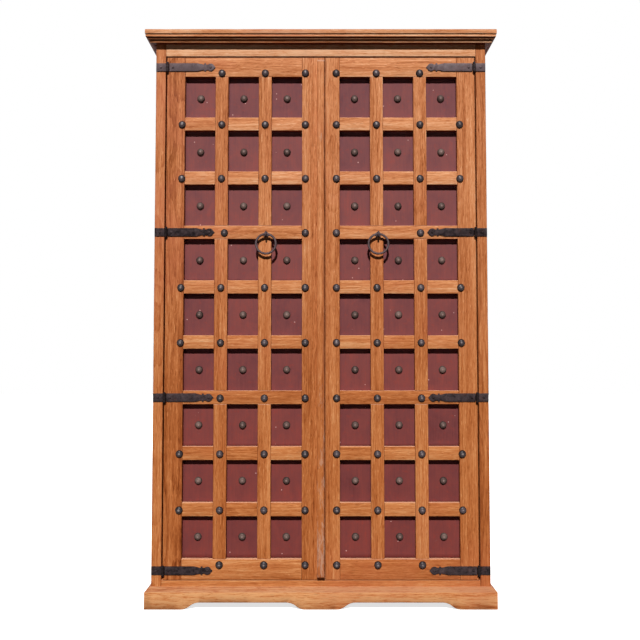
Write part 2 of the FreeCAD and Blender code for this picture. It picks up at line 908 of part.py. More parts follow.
def make_clavos(side, clavo):
    group(f"{side}_frame_clavos", copies(f"{side}_frame_clavo", clavo, clavo_spots(side), FORWARD))
    spots = []
    for column in range(COLUMNS):
        across = outward(side, f"{column_low(column)} + opening_wide / 2")
        for row in range(ROWS):
            spots.append((across, "recess + panel_play", f"{row_top(row)} - opening_high / 2"))
    group(f"{side}_panel_clavos", copies(f"{side}_panel_clavo", clavo, spots, FORWARD))


def hinge_levels():
    return ["top_hinge", bar_middle(RAIL_ROWS[0]), bar_middle(RAIL_ROWS[1]), "bottom_hinge"]


def make_strap_master():
    """The door's half of a hinge, running toward +X from the pin's axis at the origin."""
    body = doc.addObject("PartDesign::Body", "strap")
    mid = "mid_knuckle_high / 2"
    upper = (
        ("0", mid),
        ("knuckle_clear", mid),
        ("knuckle_clear", "strap_half"),
        ("strap_straight", "strap_half"),
        ("strap_neck", "neck_half"),
        ("head_centre", "neck_half"),
    )
    outline = [(across, f"-({up})") for across, up in upper] + list(reversed(upper))
    back = "-pin_out"
    pad(body, sketch(body, "strap_outline", "XZ_Plane", outline, back), "strap_thick")
    bead = (
        ("bead_centre - bead_half_wide", "-bead_half_high"),
        ("bead_centre + bead_half_wide", "-bead_half_high"),
        ("bead_centre + bead_half_wide", "bead_half_high"),
        ("bead_centre - bead_half_wide", "bead_half_high"),
    )
    pad(body, sketch(body, "strap_bead", "XZ_Plane", bead, back), "strap_thick")
    head = (("head_centre", "0", "head_radius"),)
    pad(body, disc_sketch(body, "strap_head", "XZ_Plane", head, back), "strap_thick")
    tip = (("tip_start", "-tip_half"), ("strap_long", "0"), ("tip_start", "tip_half"), ("head_centre", "0"))
    pad(body, sketch(body, "strap_tip", "XZ_Plane", tip, back), "strap_thick")
    knuckle = (("0", "0", "knuckle_radius"),)
    pad(body, disc_sketch(body, "strap_knuckle", "XY_Plane", knuckle), "mid_knuckle_high", middle=True)
    bore = (("0", "0", "pin_radius + pin_play"),)
    pocket(body, disc_sketch(body, "strap_bore", "XY_Plane", bore))
    nails = [(across, "0", "nail_shank + nail_play") for across in ("strap_nail", "head_centre")]
    pocket(body, disc_sketch(body, "strap_nail_holes", "XZ_Plane", nails))
    return body


def make_leaf_master():
    """The post's half of a hinge, running toward +X from the pin's axis at the origin."""
    body = doc.addObject("PartDesign::Body", "leaf")
    mid = "(mid_knuckle_high / 2 + knuckle_play)"
    wide = "half_wide - pin_across - leaf_inset"
    half = "leaf_high / 2"
    outline = (
        ("leaf_start", f"-{mid}"),
        ("leaf_start", f"-{half}"),
        (wide, f"-{half}"),
        (wide, half),
        ("leaf_start", half),
        ("leaf_start", mid),
        ("knuckle_clear", mid),
        ("knuckle_clear", f"-{mid}"),
    )
    pad(body, sketch(body, "leaf_outline", "XZ_Plane", outline, "-pin_out"), "leaf_thick")
    knuckle = (("0", "0", "knuckle_radius"),)
    long = f"barrel_high / 2 - {mid}"
    pad(body, disc_sketch(body, "leaf_upper", "XY_Plane", knuckle, mid), long)
    pad(body, disc_sketch(body, "leaf_lower", "XY_Plane", knuckle, "-barrel_high / 2"), long)
    bore = (("0", "0", "pin_radius + pin_play"),)
    pocket(body, disc_sketch(body, "leaf_bore", "XY_Plane", bore))
    nail = (("leaf_nail", "0", "nail_shank + nail_play"),)
    pocket(body, disc_sketch(body, "leaf_nail_hole", "XZ_Plane", nail))
    return body


def make_pin_master():
    """A hinge pin with a button head above the barrel and a tail below it."""
    half = "barrel_high / 2"
    shank = cylinder("pin_shank", "pin_radius", "barrel_high + pin_tail", ("0", "0", f"-({half} + pin_tail)"))
    head = cone("pin_head", "pin_head_radius", "pin_radius", "pin_head_high", ("0", "0", half))
    return fuse("pin", [shank, head])


def make_hinges():
    """Four hinges a side. The right strap runs toward the middle, so it is turned over."""
    strap = make_strap_master()
    leaf = make_leaf_master()
    pin = make_pin_master()
    nail = make_stud("nail", "nail_radius", "nail_rim", "nail_dome", "nail_shank", "nail_shank_tip",
                     "nail_shank_long")
    over = (Vector(0, 1, 0), 180)
    leaves = []
    leaf_nails = []
    pins = []
    for side in SIDES:
        middle = outward(side, "pin_across")
        spots = [(middle, "-pin_out", level) for level in hinge_levels()]
        leaves += copies(f"{side}_leaf", leaf, spots, None if side == "right" else over)
        pins += copies(f"{side}_pin", pin, spots)
        nails = [(outward(side, "pin_across + leaf_nail"), "-leaf_thick", level) for level in hinge_levels()]
        leaf_nails += copies(f"{side}_leaf_nail", nail, nails, FORWARD)
        straps = copies(f"{side}_strap", strap, spots, over if side == "right" else None)
        group(f"{side}_strap_hinges", straps)
        nails = []
        for level in hinge_levels():
            for reach in ("strap_nail", "head_centre"):
                nails.append((outward(side, f"pin_across - {reach}"), "-strap_thick", level))
        group(f"{side}_strap_nails", copies(f"{side}_strap_nail", nail, nails, FORWARD))
    group("hinge_frame_leaves", leaves)
    group("hinge_pins", pins)
    group("frame_leaf_nails", leaf_nails)


def make_pull(side):
    """A screw eye through the upper mid rail, and the ring that hangs in it."""
    across = f"{outward(side, muntin_middle(0))} + pull_shift"
    level = f"{bar_middle(RAIL_ROWS[0])} - pull_drop"
    spot = (across, "-ring_stand", level)
    eye = torus(f"{side}_eye", "eye_hole + eye_wire", "eye_wire", spot, (Vector(0, 1, 0), 90))
    reach = "ring_stand - eye_hole - eye_wire"
    shank = cylinder(f"{side}_eye_shank", "eye_shank", f"{reach} + eye_shank_long",
                     (across, "eye_shank_long", level), FORWARD)
    collar = cylinder(f"{side}_eye_collar", "collar_radius", "collar_thick", (across, "0", level), FORWARD)
    keep(fuse(f"{side}_pull_eye", [eye, shank, collar]), f"{side}_pull_eye")
    ring_spot = (across, "-ring_stand", f"{level} - ring_radius")
    ring = torus(f"{side}_ring_wire", "ring_radius", "ring_wire", ring_spot, FORWARD)
    group(f"{side}_ring", [ring])


def make_strike(side):
    """The plate on the door's back that the magnet holds."""
    across = span(side, "catch_out - strike_long / 2", "catch_out + strike_long / 2")
    top = "head_low - stop_high"
    deep = ("door_thick", "door_thick + strike_thick")
    single(f"{side}_strike_plate", across, deep, (f"{top} - catch_high", top))


def make_doors():
    muntin = make_muntin_master()
    crossbar = make_crossbar_master()
    panel = make_panel_master()
    clavo = make_stud("clavo", "clavo_radius", "clavo_rim", "clavo_dome", "clavo_shank", "clavo_shank_tip",
                      "clavo_shank_long")
    for side in SIDES:
        make_stiles(side)
        make_rails(side)
        make_grid(side, muntin, crossbar, panel)
        make_clavos(side, clavo)
        make_pull(side)
        make_strike(side)
    make_strip()
    make_hinges()


def check():
    """Every object recomputes, and every sub-part holds valid solids."""
    doc.recompute()
    for item in doc.Objects:
        if "Invalid" in item.State or "Error" in item.State:
            raise RuntimeError(f"{item.Label}: {item.State}")
    for label, item in NODES.items():
        shape = item.Shape
        if shape.isNull() or not shape.isValid() or not shape.Solids:
            raise RuntimeError(f"{label} has no valid solid")


def write():
    os.makedirs("parts", exist_ok=True)
    for label, item in NODES.items():
        item.Shape.exportStep(f"parts/{label}.step")
    bounds = FreeCAD.BoundBox()
    for item in NODES.values():
        bounds.add(item.Shape.BoundBox)
    print(len(NODES), "sub-parts,", sum(len(item.Shape.Solids) for item in NODES.values()), "solids,", bounds)


make_posts()
make_face_rails()
make_side_frames()
make_back()
make_inside()
make_cap()
make_cornice()
make_plinth()
make_doors()
check()
write()
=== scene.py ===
import bmesh
import bpy
import json
import math
import random
from mathutils import Matrix, Vector, noise

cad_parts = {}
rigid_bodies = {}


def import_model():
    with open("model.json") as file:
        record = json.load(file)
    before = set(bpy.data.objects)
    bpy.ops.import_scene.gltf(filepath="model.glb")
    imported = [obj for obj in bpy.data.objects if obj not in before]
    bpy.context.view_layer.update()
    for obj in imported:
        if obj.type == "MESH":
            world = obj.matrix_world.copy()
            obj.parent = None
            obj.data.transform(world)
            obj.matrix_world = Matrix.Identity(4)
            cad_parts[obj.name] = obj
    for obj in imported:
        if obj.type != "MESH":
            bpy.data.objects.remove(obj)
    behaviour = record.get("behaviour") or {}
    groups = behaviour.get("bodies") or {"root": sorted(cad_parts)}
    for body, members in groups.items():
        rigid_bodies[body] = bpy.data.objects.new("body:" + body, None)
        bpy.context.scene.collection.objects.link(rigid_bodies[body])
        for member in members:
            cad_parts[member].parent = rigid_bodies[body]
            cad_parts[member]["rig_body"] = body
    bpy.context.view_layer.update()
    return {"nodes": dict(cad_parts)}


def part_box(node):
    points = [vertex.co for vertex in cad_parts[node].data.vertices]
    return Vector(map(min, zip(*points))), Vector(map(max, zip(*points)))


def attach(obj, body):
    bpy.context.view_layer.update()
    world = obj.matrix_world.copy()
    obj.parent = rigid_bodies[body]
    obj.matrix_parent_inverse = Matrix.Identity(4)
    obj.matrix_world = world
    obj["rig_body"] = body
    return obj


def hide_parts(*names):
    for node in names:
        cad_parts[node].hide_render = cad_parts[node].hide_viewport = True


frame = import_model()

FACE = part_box("face_rail_top")[0].y
MM = 0.001

# The camera, fitted to the photograph by the corners of the case and of the doors' grid
CAMERA_X = -0.0028
CAMERA_HIGH = 0.8375
CAMERA_AHEAD = 2.6
CAMERA_PITCH = math.radians(2.72)
CAMERA_LENS = 43.15
SENSOR = 36.0

# The light: one high lamp in front, a weak even sky, and softer lamps that reach only the sides and the back
# Each of those is written as its turn from the front, its height and its strength
SUN_HIGH = math.radians(43.5)
SUN_LEFT = math.radians(2.0)
SUN_ANGLE = math.radians(2.0)
SUN_STRENGTH = 4.2
SIDE_LAMPS = ((-112, 14, 2.3), (112, 14, 2.3), (180, 14, 1.5))
SIDE_ANGLE = math.radians(20.0)
SKY_STRENGTH = 0.018
SKY_TINT = (1.0, 0.62, 0.45, 1.0)
FLOOR_HALF = 14.0
FLOOR_PALE = 0.86
FLOOR_BOUNCE = 0.04
FLOOR_GLOW = 0.72
FLOOR_ROUGH = 0.9
FLOOR_GLOSS = 0.1

# How a piece is cut up, worn and eased
WELD = 1e-6
FLAT_ANGLE = 0.01
STEP = 22 * MM
CUT_SHIFT = 0.31
EASE = 0.55 * MM
WOOD_EASE = 1.5 * MM
TRIM_EASE = 0.25 * MM
EASE_ANGLE = math.radians(35)

# Wear of the corners: bumps in a metre, and how deep the dents go against the soft wear
WEAR_SCALE = 31.0
WEAR_SOFT = 0.55
DENT_SCALE = 74.0
DENT_SHIFT = Vector((5.0, 1.0, 3.0))
DENT_FROM = 0.32
DENT_DEEP = 2.4
WOOD_WEAR = 0.5 * MM

# Where a board's pith lies from its middle: along, across and behind it, and how strong its rings are
PITH_ALONG = 20
PITH_ASIDE = 0.05
PITH_BEHIND = (0.03, 0.09)
RINGY = (0.25, 1.0)


def srgb(red, green, blue):
    """A colour written as it looks on screen, from 0 to 255, as linear light."""
    def linear(part):
        share = part / 255
        return share / 12.92 if share <= 0.04045 else ((share + 0.055) / 1.055) ** 2.4
    return (linear(red), linear(green), linear(blue), 1.0)


# Camera, floor and light

def make_camera():
    camera = bpy.data.objects.new("camera", bpy.data.cameras.new("camera"))
    bpy.context.scene.collection.objects.link(camera)
    camera.location = (CAMERA_X, FACE - CAMERA_AHEAD, CAMERA_HIGH)
    camera.rotation_euler = (math.pi / 2 + CAMERA_PITCH, 0, 0)
    camera.data.sensor_width = SENSOR
    camera.data.lens = CAMERA_LENS
    bpy.context.scene.camera = camera


def seen(tree):
    """1 for rays that show the background itself: to the camera, in gloss and through glass."""
    path = tree.nodes.new("ShaderNodeLightPath")
    total = path.outputs["Is Camera Ray"]
    for name in ("Is Glossy Ray", "Is Transmission Ray"):
        more = tree.nodes.new("ShaderNodeMath")
        more.operation = "MAXIMUM"
        tree.links.new(total, more.inputs[0])
        tree.links.new(path.outputs[name], more.inputs[1])
        total = more.outputs[0]
    return total


def make_lamp(name, turn, high, strength, angle):
    """A distant lamp, turned to the left of the front and raised."""
    lamp = bpy.data.objects.new(name, bpy.data.lights.new(name, "SUN"))
    bpy.context.scene.collection.objects.link(lamp)
    lamp.data.energy = strength
    lamp.data.angle = angle
    level = math.cos(high)
    toward = Vector((-math.sin(turn) * level, -math.cos(turn) * level, math.sin(high)))
    lamp.rotation_mode = "QUATERNION"
    lamp.rotation_quaternion = toward.to_track_quat("Z", "Y")


def make_stage():
    world = bpy.data.worlds.new("studio")
    bpy.context.scene.world = world
    world.use_nodes = True
    tree = world.node_tree
    back = tree.nodes["Background"]
    tint = tree.nodes.new("ShaderNodeMix")
    tint.data_type = "RGBA"
    tint.inputs[6].default_value = SKY_TINT
    tint.inputs[7].default_value = (1, 1, 1, 1)
    tree.links.new(seen(tree), tint.inputs[0])
    tree.links.new(tint.outputs[2], back.inputs["Color"])
    strength = tree.nodes.new("ShaderNodeMapRange")
    strength.inputs["To Min"].default_value = SKY_STRENGTH
    strength.inputs["To Max"].default_value = 1.0
    tree.links.new(seen(tree), strength.inputs["Value"])
    tree.links.new(strength.outputs["Result"], back.inputs["Strength"])

    make_lamp("lamp", SUN_LEFT, SUN_HIGH, SUN_STRENGTH, SUN_ANGLE)
    for turn, high, strength in SIDE_LAMPS:
        make_lamp("side_lamp", math.radians(turn), math.radians(high), strength, SIDE_ANGLE)

    corners = [(x * FLOOR_HALF, y * FLOOR_HALF, 0) for x, y in ((-1, -1), (1, -1), (1, 1), (-1, 1))]
    mesh = bpy.data.meshes.new("floor")
    mesh.from_pydata(corners, [], [(0, 1, 2, 3)])
    floor = bpy.data.objects.new("floor", mesh)
    bpy.context.scene.collection.objects.link(floor)
    material = bpy.data.materials.new("floor_paint")
    material.use_nodes = True
    tree = material.node_tree
    shader = tree.nodes["Principled BSDF"]
    shader.inputs["Roughness"].default_value = FLOOR_ROUGH
    shader.inputs["Specular IOR Level"].default_value = FLOOR_GLOSS
    pale = tree.nodes.new("ShaderNodeMapRange")
    pale.inputs["To Min"].default_value = FLOOR_BOUNCE
    pale.inputs["To Max"].default_value = FLOOR_PALE
    tree.links.new(seen(tree), pale.inputs["Value"])
    tree.links.new(pale.outputs["Result"], shader.inputs["Base Color"])
    glow = tree.nodes.new("ShaderNodeMapRange")
    glow.inputs["To Max"].default_value = FLOOR_GLOW
    tree.links.new(seen(tree), glow.inputs["Value"])
    shader.inputs["Emission Color"].default_value = (1, 1, 1, 1)
    tree.links.new(glow.outputs["Result"], shader.inputs["Emission Strength"])
    mesh.materials.append(material)
    bpy.context.scene.view_settings.view_transform = "Standard"


# Shader nodes

PATTERN_SHIFT = 7.3


class Shader:
    """A new material, and short calls for its nodes."""

    def __init__(self, name):
        self.material = bpy.data.materials.new(name)
        self.material.use_nodes = True
        self.tree = self.material.node_tree
        self.surface = self.tree.nodes["Principled BSDF"]
        coordinates = self.node("TexCoord").outputs
        self.place = coordinates["Object"]
        self.facing = self.split(coordinates["Normal"])

    def plug(self, socket, source):
        if isinstance(source, bpy.types.NodeSocket):
            self.tree.links.new(source, socket)
        else:
            socket.default_value = source

    def node(self, kind, inputs=None, **settings):
        item = self.tree.nodes.new("ShaderNode" + kind)
        for name, setting in settings.items():
            setattr(item, name, setting)
        for name, source in (inputs or {}).items():
            self.plug(item.inputs[name], source)
        return item

    def math(self, operation, *sources, clamp=False):
        inputs = dict(enumerate(sources))
        return self.node("Math", inputs, operation=operation, use_clamp=clamp).outputs[0]

    def add(self, *sources):
        total = sources[0]
        for source in sources[1:]:
            total = self.math("ADD", total, source)
        return total

    def times(self, one, two):
        return self.math("MULTIPLY", one, two)

    def sum_of(self, made, shares):
        """Named patterns added up, each by its share."""
        return self.add(*(self.times(made[name], share) for name, share in shares.items()))

    def swings(self, made, reaches):
        """The changes of named patterns, each up to its reach both ways."""
        return [self.around(made[name], reach) for name, reach in reaches.items()]

    def least(self, source, low):
        """A pattern from 0 to 1, raised so that it starts at low."""
        return self.math("MULTIPLY_ADD", source, 1 - low, low)

    def turned(self):
        """How far a face looks to a side, and to the front or back."""
        return [self.math("ABSOLUTE", self.facing[number]) for number in (0, 1)]

    def down(self):
        return self.times(self.facing[2], -1.0)

    def around(self, source, reach):
        """A pattern from 0 to 1, as a change of up to reach each way."""
        return self.math("MULTIPLY_ADD", source, 2 * reach, -reach)

    def mix(self, factor, one, two, blend="MIX"):
        inputs = {0: factor, 6: one, 7: two}
        return self.node("Mix", inputs, data_type="RGBA", blend_type=blend).outputs[2]

    def vector(self, *parts):
        return self.node("CombineXYZ", dict(enumerate(parts))).outputs[0]

    def split(self, vector):
        return self.node("SeparateXYZ", {0: vector}).outputs

    def shifted(self, parts):
        """The same place in another part of a pattern."""
        return [self.add(part, PATTERN_SHIFT) for part in parts]

    def less(self, one, two):
        return self.node("VectorMath", {0: one, 1: two}, operation="SUBTRACT").outputs[0]

    def scaled(self, parts, scales):
        return self.vector(*(self.times(part, scale) for part, scale in zip(parts, scales)))

    def noise(self, vector, scale=1.0, detail=2.0, roughness=0.5, distortion=0.0):
        inputs = {"Vector": vector, "Scale": scale, "Detail": detail, "Roughness": roughness,
                  "Distortion": distortion}
        return self.node("TexNoise", inputs).outputs[0]

    def cells(self, vector, scale, feature="F1"):
        return self.node("TexVoronoi", {"Vector": vector, "Scale": scale}, feature=feature)

    def inverse(self, source):
        return self.math("SUBTRACT", 1.0, source)

    def rise(self, source, low, high):
        """0 below low, 1 above high, and smooth between."""
        inputs = {"Value": source, "From Min": low, "From Max": high}
        return self.node("MapRange", inputs, interpolation_type="SMOOTHSTEP").outputs[0]

    def ramp(self, source, stops):
        item = self.node("ValToRGB", {0: source})
        stops = list(stops)
        while len(item.color_ramp.elements) < len(stops):
            item.color_ramp.elements.new(1.0)
        for element, (spot, colour) in zip(item.color_ramp.elements, stops):
            element.position = spot
            element.color = colour
        return item.outputs[0]

    def own(self, name):
        """A value that each piece carries in its mesh."""
        return self.node("Attribute", attribute_name=name)

    def bump(self, height, strength, distance):
        inputs = {"Height": height, "Strength": strength, "Distance": distance}
        self.plug(self.surface.inputs["Normal"], self.node("Bump", inputs).outputs[0])

    def finish(self, colour, roughness, specular=0.3, metallic=0.0):
        self.plug(self.surface.inputs["Base Color"], colour)
        self.plug(self.surface.inputs["Roughness"], roughness)
        self.plug(self.surface.inputs["Specular IOR Level"], specular)
        self.plug(self.surface.inputs["Metallic"], metallic)
        return self.material


# Which of x, y and z run along, across and into a board, by the axis that its grain follows
GRAIN_ORDER = {"x": (0, 2, 1), "y": (1, 2, 0), "z": (2, 0, 1)}

# Each pattern's repeats in a metre, detail, roughness and distortion. Those of the wood run along, across and
# into the board, and those of the paint along x, y and z
PATTERNS = {
    "wander": ((1.6, 5.0, 5.0), 3.0, 0.5, 0.0),
    "sink": ((1.1, 0.0, 0.0), 2.0, 0.5, 0.0),
    "fuzz": ((8.0, 120.0, 120.0), 3.0, 0.5, 0.0),
    "shows": ((0.9, 6.0, 6.0), 2.0, 0.5, 0.0),
    "fibre": ((7.0, 210.0, 210.0), 4.0, 0.66, 0.0),
    "fine": ((30.0, 520.0, 520.0), 3.0, 0.6, 0.0),
    "band": ((0.9, 55.0, 55.0), 2.0, 0.5, 0.0),
    "cloud": ((3.0, 12.0, 12.0), 4.0, 0.5, 0.0),
    "light": ((55.0, 330.0, 330.0), 2.0, 0.5, 0.0),
    "dark": ((48.0, 330.0, 330.0), 2.0, 0.5, 0.0),
    "pores": ((34.0, 760.0, 760.0), 1.0, 0.5, 0.0),
    "handled": ((9.0, 9.0, 9.0), 3.0, 0.5, 0.0),
    "rubbed": ((14.0, 60.0, 60.0), 5.0, 0.75, 0.0),
    "paint_cloud": ((16.0, 14.0, 11.0), 5.0, 0.6, 0.6),
    "paint_haze": ((34.0, 10.0, 12.0), 4.0, 0.6, 0.0),
    "paint_streak": ((300.0, 60.0, 14.0), 3.0, 0.5, 0.0),
    "paint_mottle": ((90.0, 30.0, 70.0), 4.0, 0.65, 0.0),
    "paint_scratch": ((330.0, 20.0, 26.0), 2.0, 0.5, 0.8),
    "made_lines": ((60.0, 400.0, 900.0), 2.0, 0.5, 0.0),
}

# The finishes of the wood. Each gives its colours from dark to light, the tint near the floor, the stain, its
# roughness, and the shares of: wear, painted shade on faces that look down, figure, dust and painted
# highlight on slopes, then the colour slopes are multiplied by as painted shade, and the shares of painted
# shade on the doors' recess walls and top edge, grime beside the doors' joint, grime and painted shade in the
# edges, dust and painted highlight on level faces, and painted shade under mouldings
FINISHED = {
    "stops": (
        (0.0, srgb(88, 38, 16)),
        (0.25, srgb(146, 78, 40)),
        (0.5, srgb(192, 116, 70)),
        (0.75, srgb(220, 148, 100)),
        (1.0, srgb(240, 186, 144)),
    ),
    "low": srgb(232, 218, 192),
    "rose": srgb(200, 112, 84),
    "rough": 0.48,
    "worn": 0.0,
    "under": 1.0,
    "grain": 1.0,
    "dust_and_highlight": 0.2,
    "slope": srgb(208, 200, 194),
    "door_shade": 0.0,
    "joint": 0.0,
    "edge": 0.75,
    "level": 0.4,
    "soffit_shade": 0.0,
}
STRIP = {**FINISHED, "worn": 0.45, "joint": 0.8}
TRIM = {
    **FINISHED,
    "grain": 1.3,
    "slope": srgb(160, 150, 146),
    "edge": 0.3,
    "level": 0.15,
    "soffit_shade": 0.65,
}
PLINTH = {**FINISHED, "grain": 2.0, "slope": srgb(218, 214, 216)}
DOOR = {
    **FINISHED,
    "grain": 1.15,
    "dust_and_highlight": 1.3,
    "slope": srgb(255, 255, 255),
    "door_shade": 0.7,
    "joint": 0.6,
    "level": 1.0,
}
BARE = {
    **FINISHED,
    "stops": (
        (0.0, srgb(96, 60, 36)),
        (0.3, srgb(146, 98, 62)),
        (0.55, srgb(176, 126, 84)),
        (0.8, srgb(198, 152, 108)),
        (1.0, srgb(216, 178, 136)),
    ),
    "low": srgb(252, 244, 230),
    "rose": srgb(178, 122, 92),
    "rough": 0.66,
    "under": 0.0,
    "slope": srgb(226, 214, 206),
    "edge": 0.5,
    "level": 0.3,
}
LOOKS = {
    "finished": FINISHED, "trim": TRIM, "plinth": PLINTH, "door": DOOR, "strip": STRIP, "bare": BARE,
}
PALE_WEAR = srgb(202, 168, 146)
# Pale dust, also used as a painted highlight on up-facing ledges and chamfers
DUST_AND_HIGHLIGHT = srgb(226, 172, 142)
# Dark brown of knot cores, also used as painted shade under mouldings
DARK_KNOT_AND_SHADE = srgb(58, 28, 16)
# Grime in the edges, and painted shade on edges that look down, on recess walls and along the doors' top edge
EDGE_GRIME_AND_SHADE = srgb(108, 50, 28)
HANDLED = srgb(134, 72, 44)
SHADE = srgb(144, 88, 70)
PORE = srgb(86, 42, 22)
# Painted shade on iron: the heads' rims, the straps' faces turned from the front and the hinge knuckles
IRON_SHADE = srgb(26, 19, 19)

# Places on the object: the doors' top, how far the meeting edges reach from the middle, the joint of the
# doors, the strip's top, and the hinge pins
DOOR_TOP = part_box("left_hinge_stile")[1].z
MEETING_OUT = 26 * MM
JOINT_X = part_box("meeting_strip")[1].x
STRIP_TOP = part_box("meeting_strip")[1].z
PIN_OUT = 527.5 * MM

# Growth rings in a metre, how they wander, and the darkness of late wood
# Here and below, a pair of numbers is where a rise starts and ends
RINGS = 135.0
WANDER = 0.03
SINK = 0.075
FUZZ = 0.35
RING_EDGE = 2.4
RING_SHOWS = (0.32, 0.62)
RING_LEAST = 0.25

# Knots: cells in a metre, those that hold a knot, and the reach of the bent grain and of the core
KNOTS = 4.2
KNOT_STRETCH = (1.0, 1.0, 0.25)
KNOT_CHOSEN = (0.80, 0.82)
KNOT_BEND = (0.03, 0.30)
KNOT_CORE = (0.015, 0.05)
KNOT_PUSH = 0.012
KNOT_SHARE = 0.82

# How far each pattern changes the wood's tone, both ways, and its height
FIGURE = {"fibre": 0.34, "fine": 0.32, "band": 0.24, "cloud": 0.17}
STREAK_SHARE = 0.17
STREAK_RISE = (0.58, 0.72)
FIGURE_LIFT = 0.04
PORE_RISE = (0.60, 0.74)
PORE_SHARE = 0.34
RELIEF = {"fibre": 0.6, "fine": 0.3, "late": -0.25, "pores": -0.6}
RELIEF_SHARE = 0.3
RELIEF_DEEP = 0.9 * MM
FIBRE_ROUGH = 0.10
PORE_ROUGH = 0.12
DUST_ROUGH = 0.2
WOOD_GLOSS = 0.04

# Stains, and the heights between which the tint near the floor fades
STAIN_SCALE = 2.4
STAIN_RISE = (0.5, 0.72)
STAIN_SHARE = 0.35
LOW_WOOD = (0.45, 1.75)

# Grime and painted shade in the edges, and painted shade on the recess walls, weak at the meeting edges and
# none past the hinge stiles
EDGE_TURNED = (0.08, 0.42)
WALL_TURNED = (0.75, 0.95)
MEETING_FADE = 8 * MM
MEETING_LEAST = 0.3
HINGE_SIDE = (0.505, 0.515)

# Which faces count as sloping, level or looking down, by how far they look up
SLOPE_FROM = (0.35, 0.6)
SLOPE_TO = (0.85, 0.97)
SLOPE_TURNED = (0.3, 0.5)
SLOPE_SHADE = 0.5
LEVEL_FROM = (0.8, 0.97)
DUST_AND_HIGHLIGHT_LEAST = 0.3
# Where painted shade lies: along the doors' top edge, on faces that look down, and deeper under mouldings
TOP_EDGE = (DOOR_TOP - 3 * MM, DOOR_TOP - 1 * MM)
DOWN_SHADE = (0.5, 0.9)
DOWN_SOFFIT_SHADE = (0.2, 0.5)

# Hand grime beside the joint, and the finish worn off the strip toward the floor and at its top
HANDLED_WANDER = 7.0 * MM
HANDLED_REACH = (1.0 * MM, 8.0 * MM)
HANDLED_FIBRE = (0.3, 0.55)
RUBBED_HEIGHTS = (0.15, 1.1)
RUBBED_LOW = 0.16
RUBBED_RISE = (0.60, 0.74)
RUBBED_TOP = (STRIP_TOP - 12 * MM, STRIP_TOP - 4 * MM)


def pattern(s, parts, name):
    scales, detail, roughness, distortion = PATTERNS[name]
    return s.noise(s.scaled(parts, scales), detail=detail, roughness=roughness, distortion=distortion)


def growth(s, along):
    """Dark late wood of each year's ring, and how near the place is to a knot."""
    wander = s.around(pattern(s, along, "wander"), WANDER)
    sink = s.around(pattern(s, along, "sink"), SINK)
    knots = s.cells(s.scaled(along, KNOT_STRETCH), KNOTS)
    chosen = s.rise(s.split(knots.outputs["Color"])[0], *KNOT_CHOSEN)
    far = knots.outputs["Distance"]
    near_knot = s.times(chosen, s.inverse(s.rise(far, *KNOT_BEND)))
    knot = s.times(chosen, s.inverse(s.rise(far, *KNOT_CORE)))
    aside = s.add(along[1], wander, s.times(near_knot, KNOT_PUSH))
    behind = s.add(along[2], sink)
    out = s.math("SQRT", s.add(s.times(aside, aside), s.times(behind, behind)))
    fuzz = s.around(pattern(s, along, "fuzz"), FUZZ)
    ring = s.math("FRACT", s.math("MULTIPLY_ADD", out, RINGS, fuzz))
    shows = s.rise(pattern(s, along, "shows"), *RING_SHOWS)
    late = s.times(s.math("POWER", ring, RING_EDGE), s.least(shows, RING_LEAST))
    return s.times(late, s.own("ringy").outputs["Fac"]), knot


def wood_patterns(s, along):
    """The patterns of a board by name, with its late wood and its knots."""
    made = {name: pattern(s, along, name) for name in FIGURE}
    made["light"] = s.rise(pattern(s, along, "light"), *STREAK_RISE)
    made["dark"] = s.rise(pattern(s, s.shifted(along), "dark"), *STREAK_RISE)
    made["pores"] = s.rise(pattern(s, along, "pores"), *PORE_RISE)
    made["late"], made["knot"] = growth(s, along)
    return made


def bare_wood(s, look, made):
    """The colour of the wood itself: its figure, stain, pores and knots."""
    figure = s.add(
        *s.swings(made, FIGURE),
        s.times(made["late"], -STREAK_SHARE),
        s.times(made["light"], STREAK_SHARE),
        s.times(made["dark"], -STREAK_SHARE),
        FIGURE_LIFT,
    )
    value = s.add(s.own("tone").outputs["Fac"], s.times(figure, look["grain"]))
    colour = s.ramp(value, look["stops"])
    stain = s.noise(s.place, STAIN_SCALE, detail=3.0, roughness=0.6)
    colour = s.mix(s.times(s.rise(stain, *STAIN_RISE), STAIN_SHARE), colour, look["rose"])
    low = s.inverse(s.rise(s.split(s.place)[2], *LOW_WOOD))
    colour = s.mix(low, colour, look["low"], blend="MULTIPLY")
    colour = s.mix(s.times(made["pores"], PORE_SHARE), colour, PORE)
    return s.mix(s.times(made["knot"], KNOT_SHARE), colour, DARK_KNOT_AND_SHADE)


def grimed(s, axis, look, colour):
    """Grime and painted shade in the long edges, and painted shade on the recess walls."""
    aside, ahead = s.turned()
    off = s.math("ABSOLUTE", s.split(s.place)[0])
    apart = s.rise(off, MEETING_OUT, MEETING_OUT + MEETING_FADE)
    if axis == "z":
        turned = s.times(s.times(aside, ahead), s.least(apart, MEETING_LEAST))
    else:
        turned = s.times(s.down(), s.math("MAXIMUM", aside, ahead))
    # Grime along the chamfers, and painted shade on the chamfers that look down
    colour = s.mix(s.times(s.rise(turned, *EDGE_TURNED), look["edge"]), colour, EDGE_GRIME_AND_SHADE)
    # Painted shade on the recess walls
    if look["door_shade"]:
        wall_shade = s.times(s.rise(aside, *WALL_TURNED), apart)
        wall_shade = s.times(wall_shade, s.inverse(s.rise(off, *HINGE_SIDE)))
        colour = s.mix(s.times(wall_shade, look["door_shade"]), colour, EDGE_GRIME_AND_SHADE)
    return colour


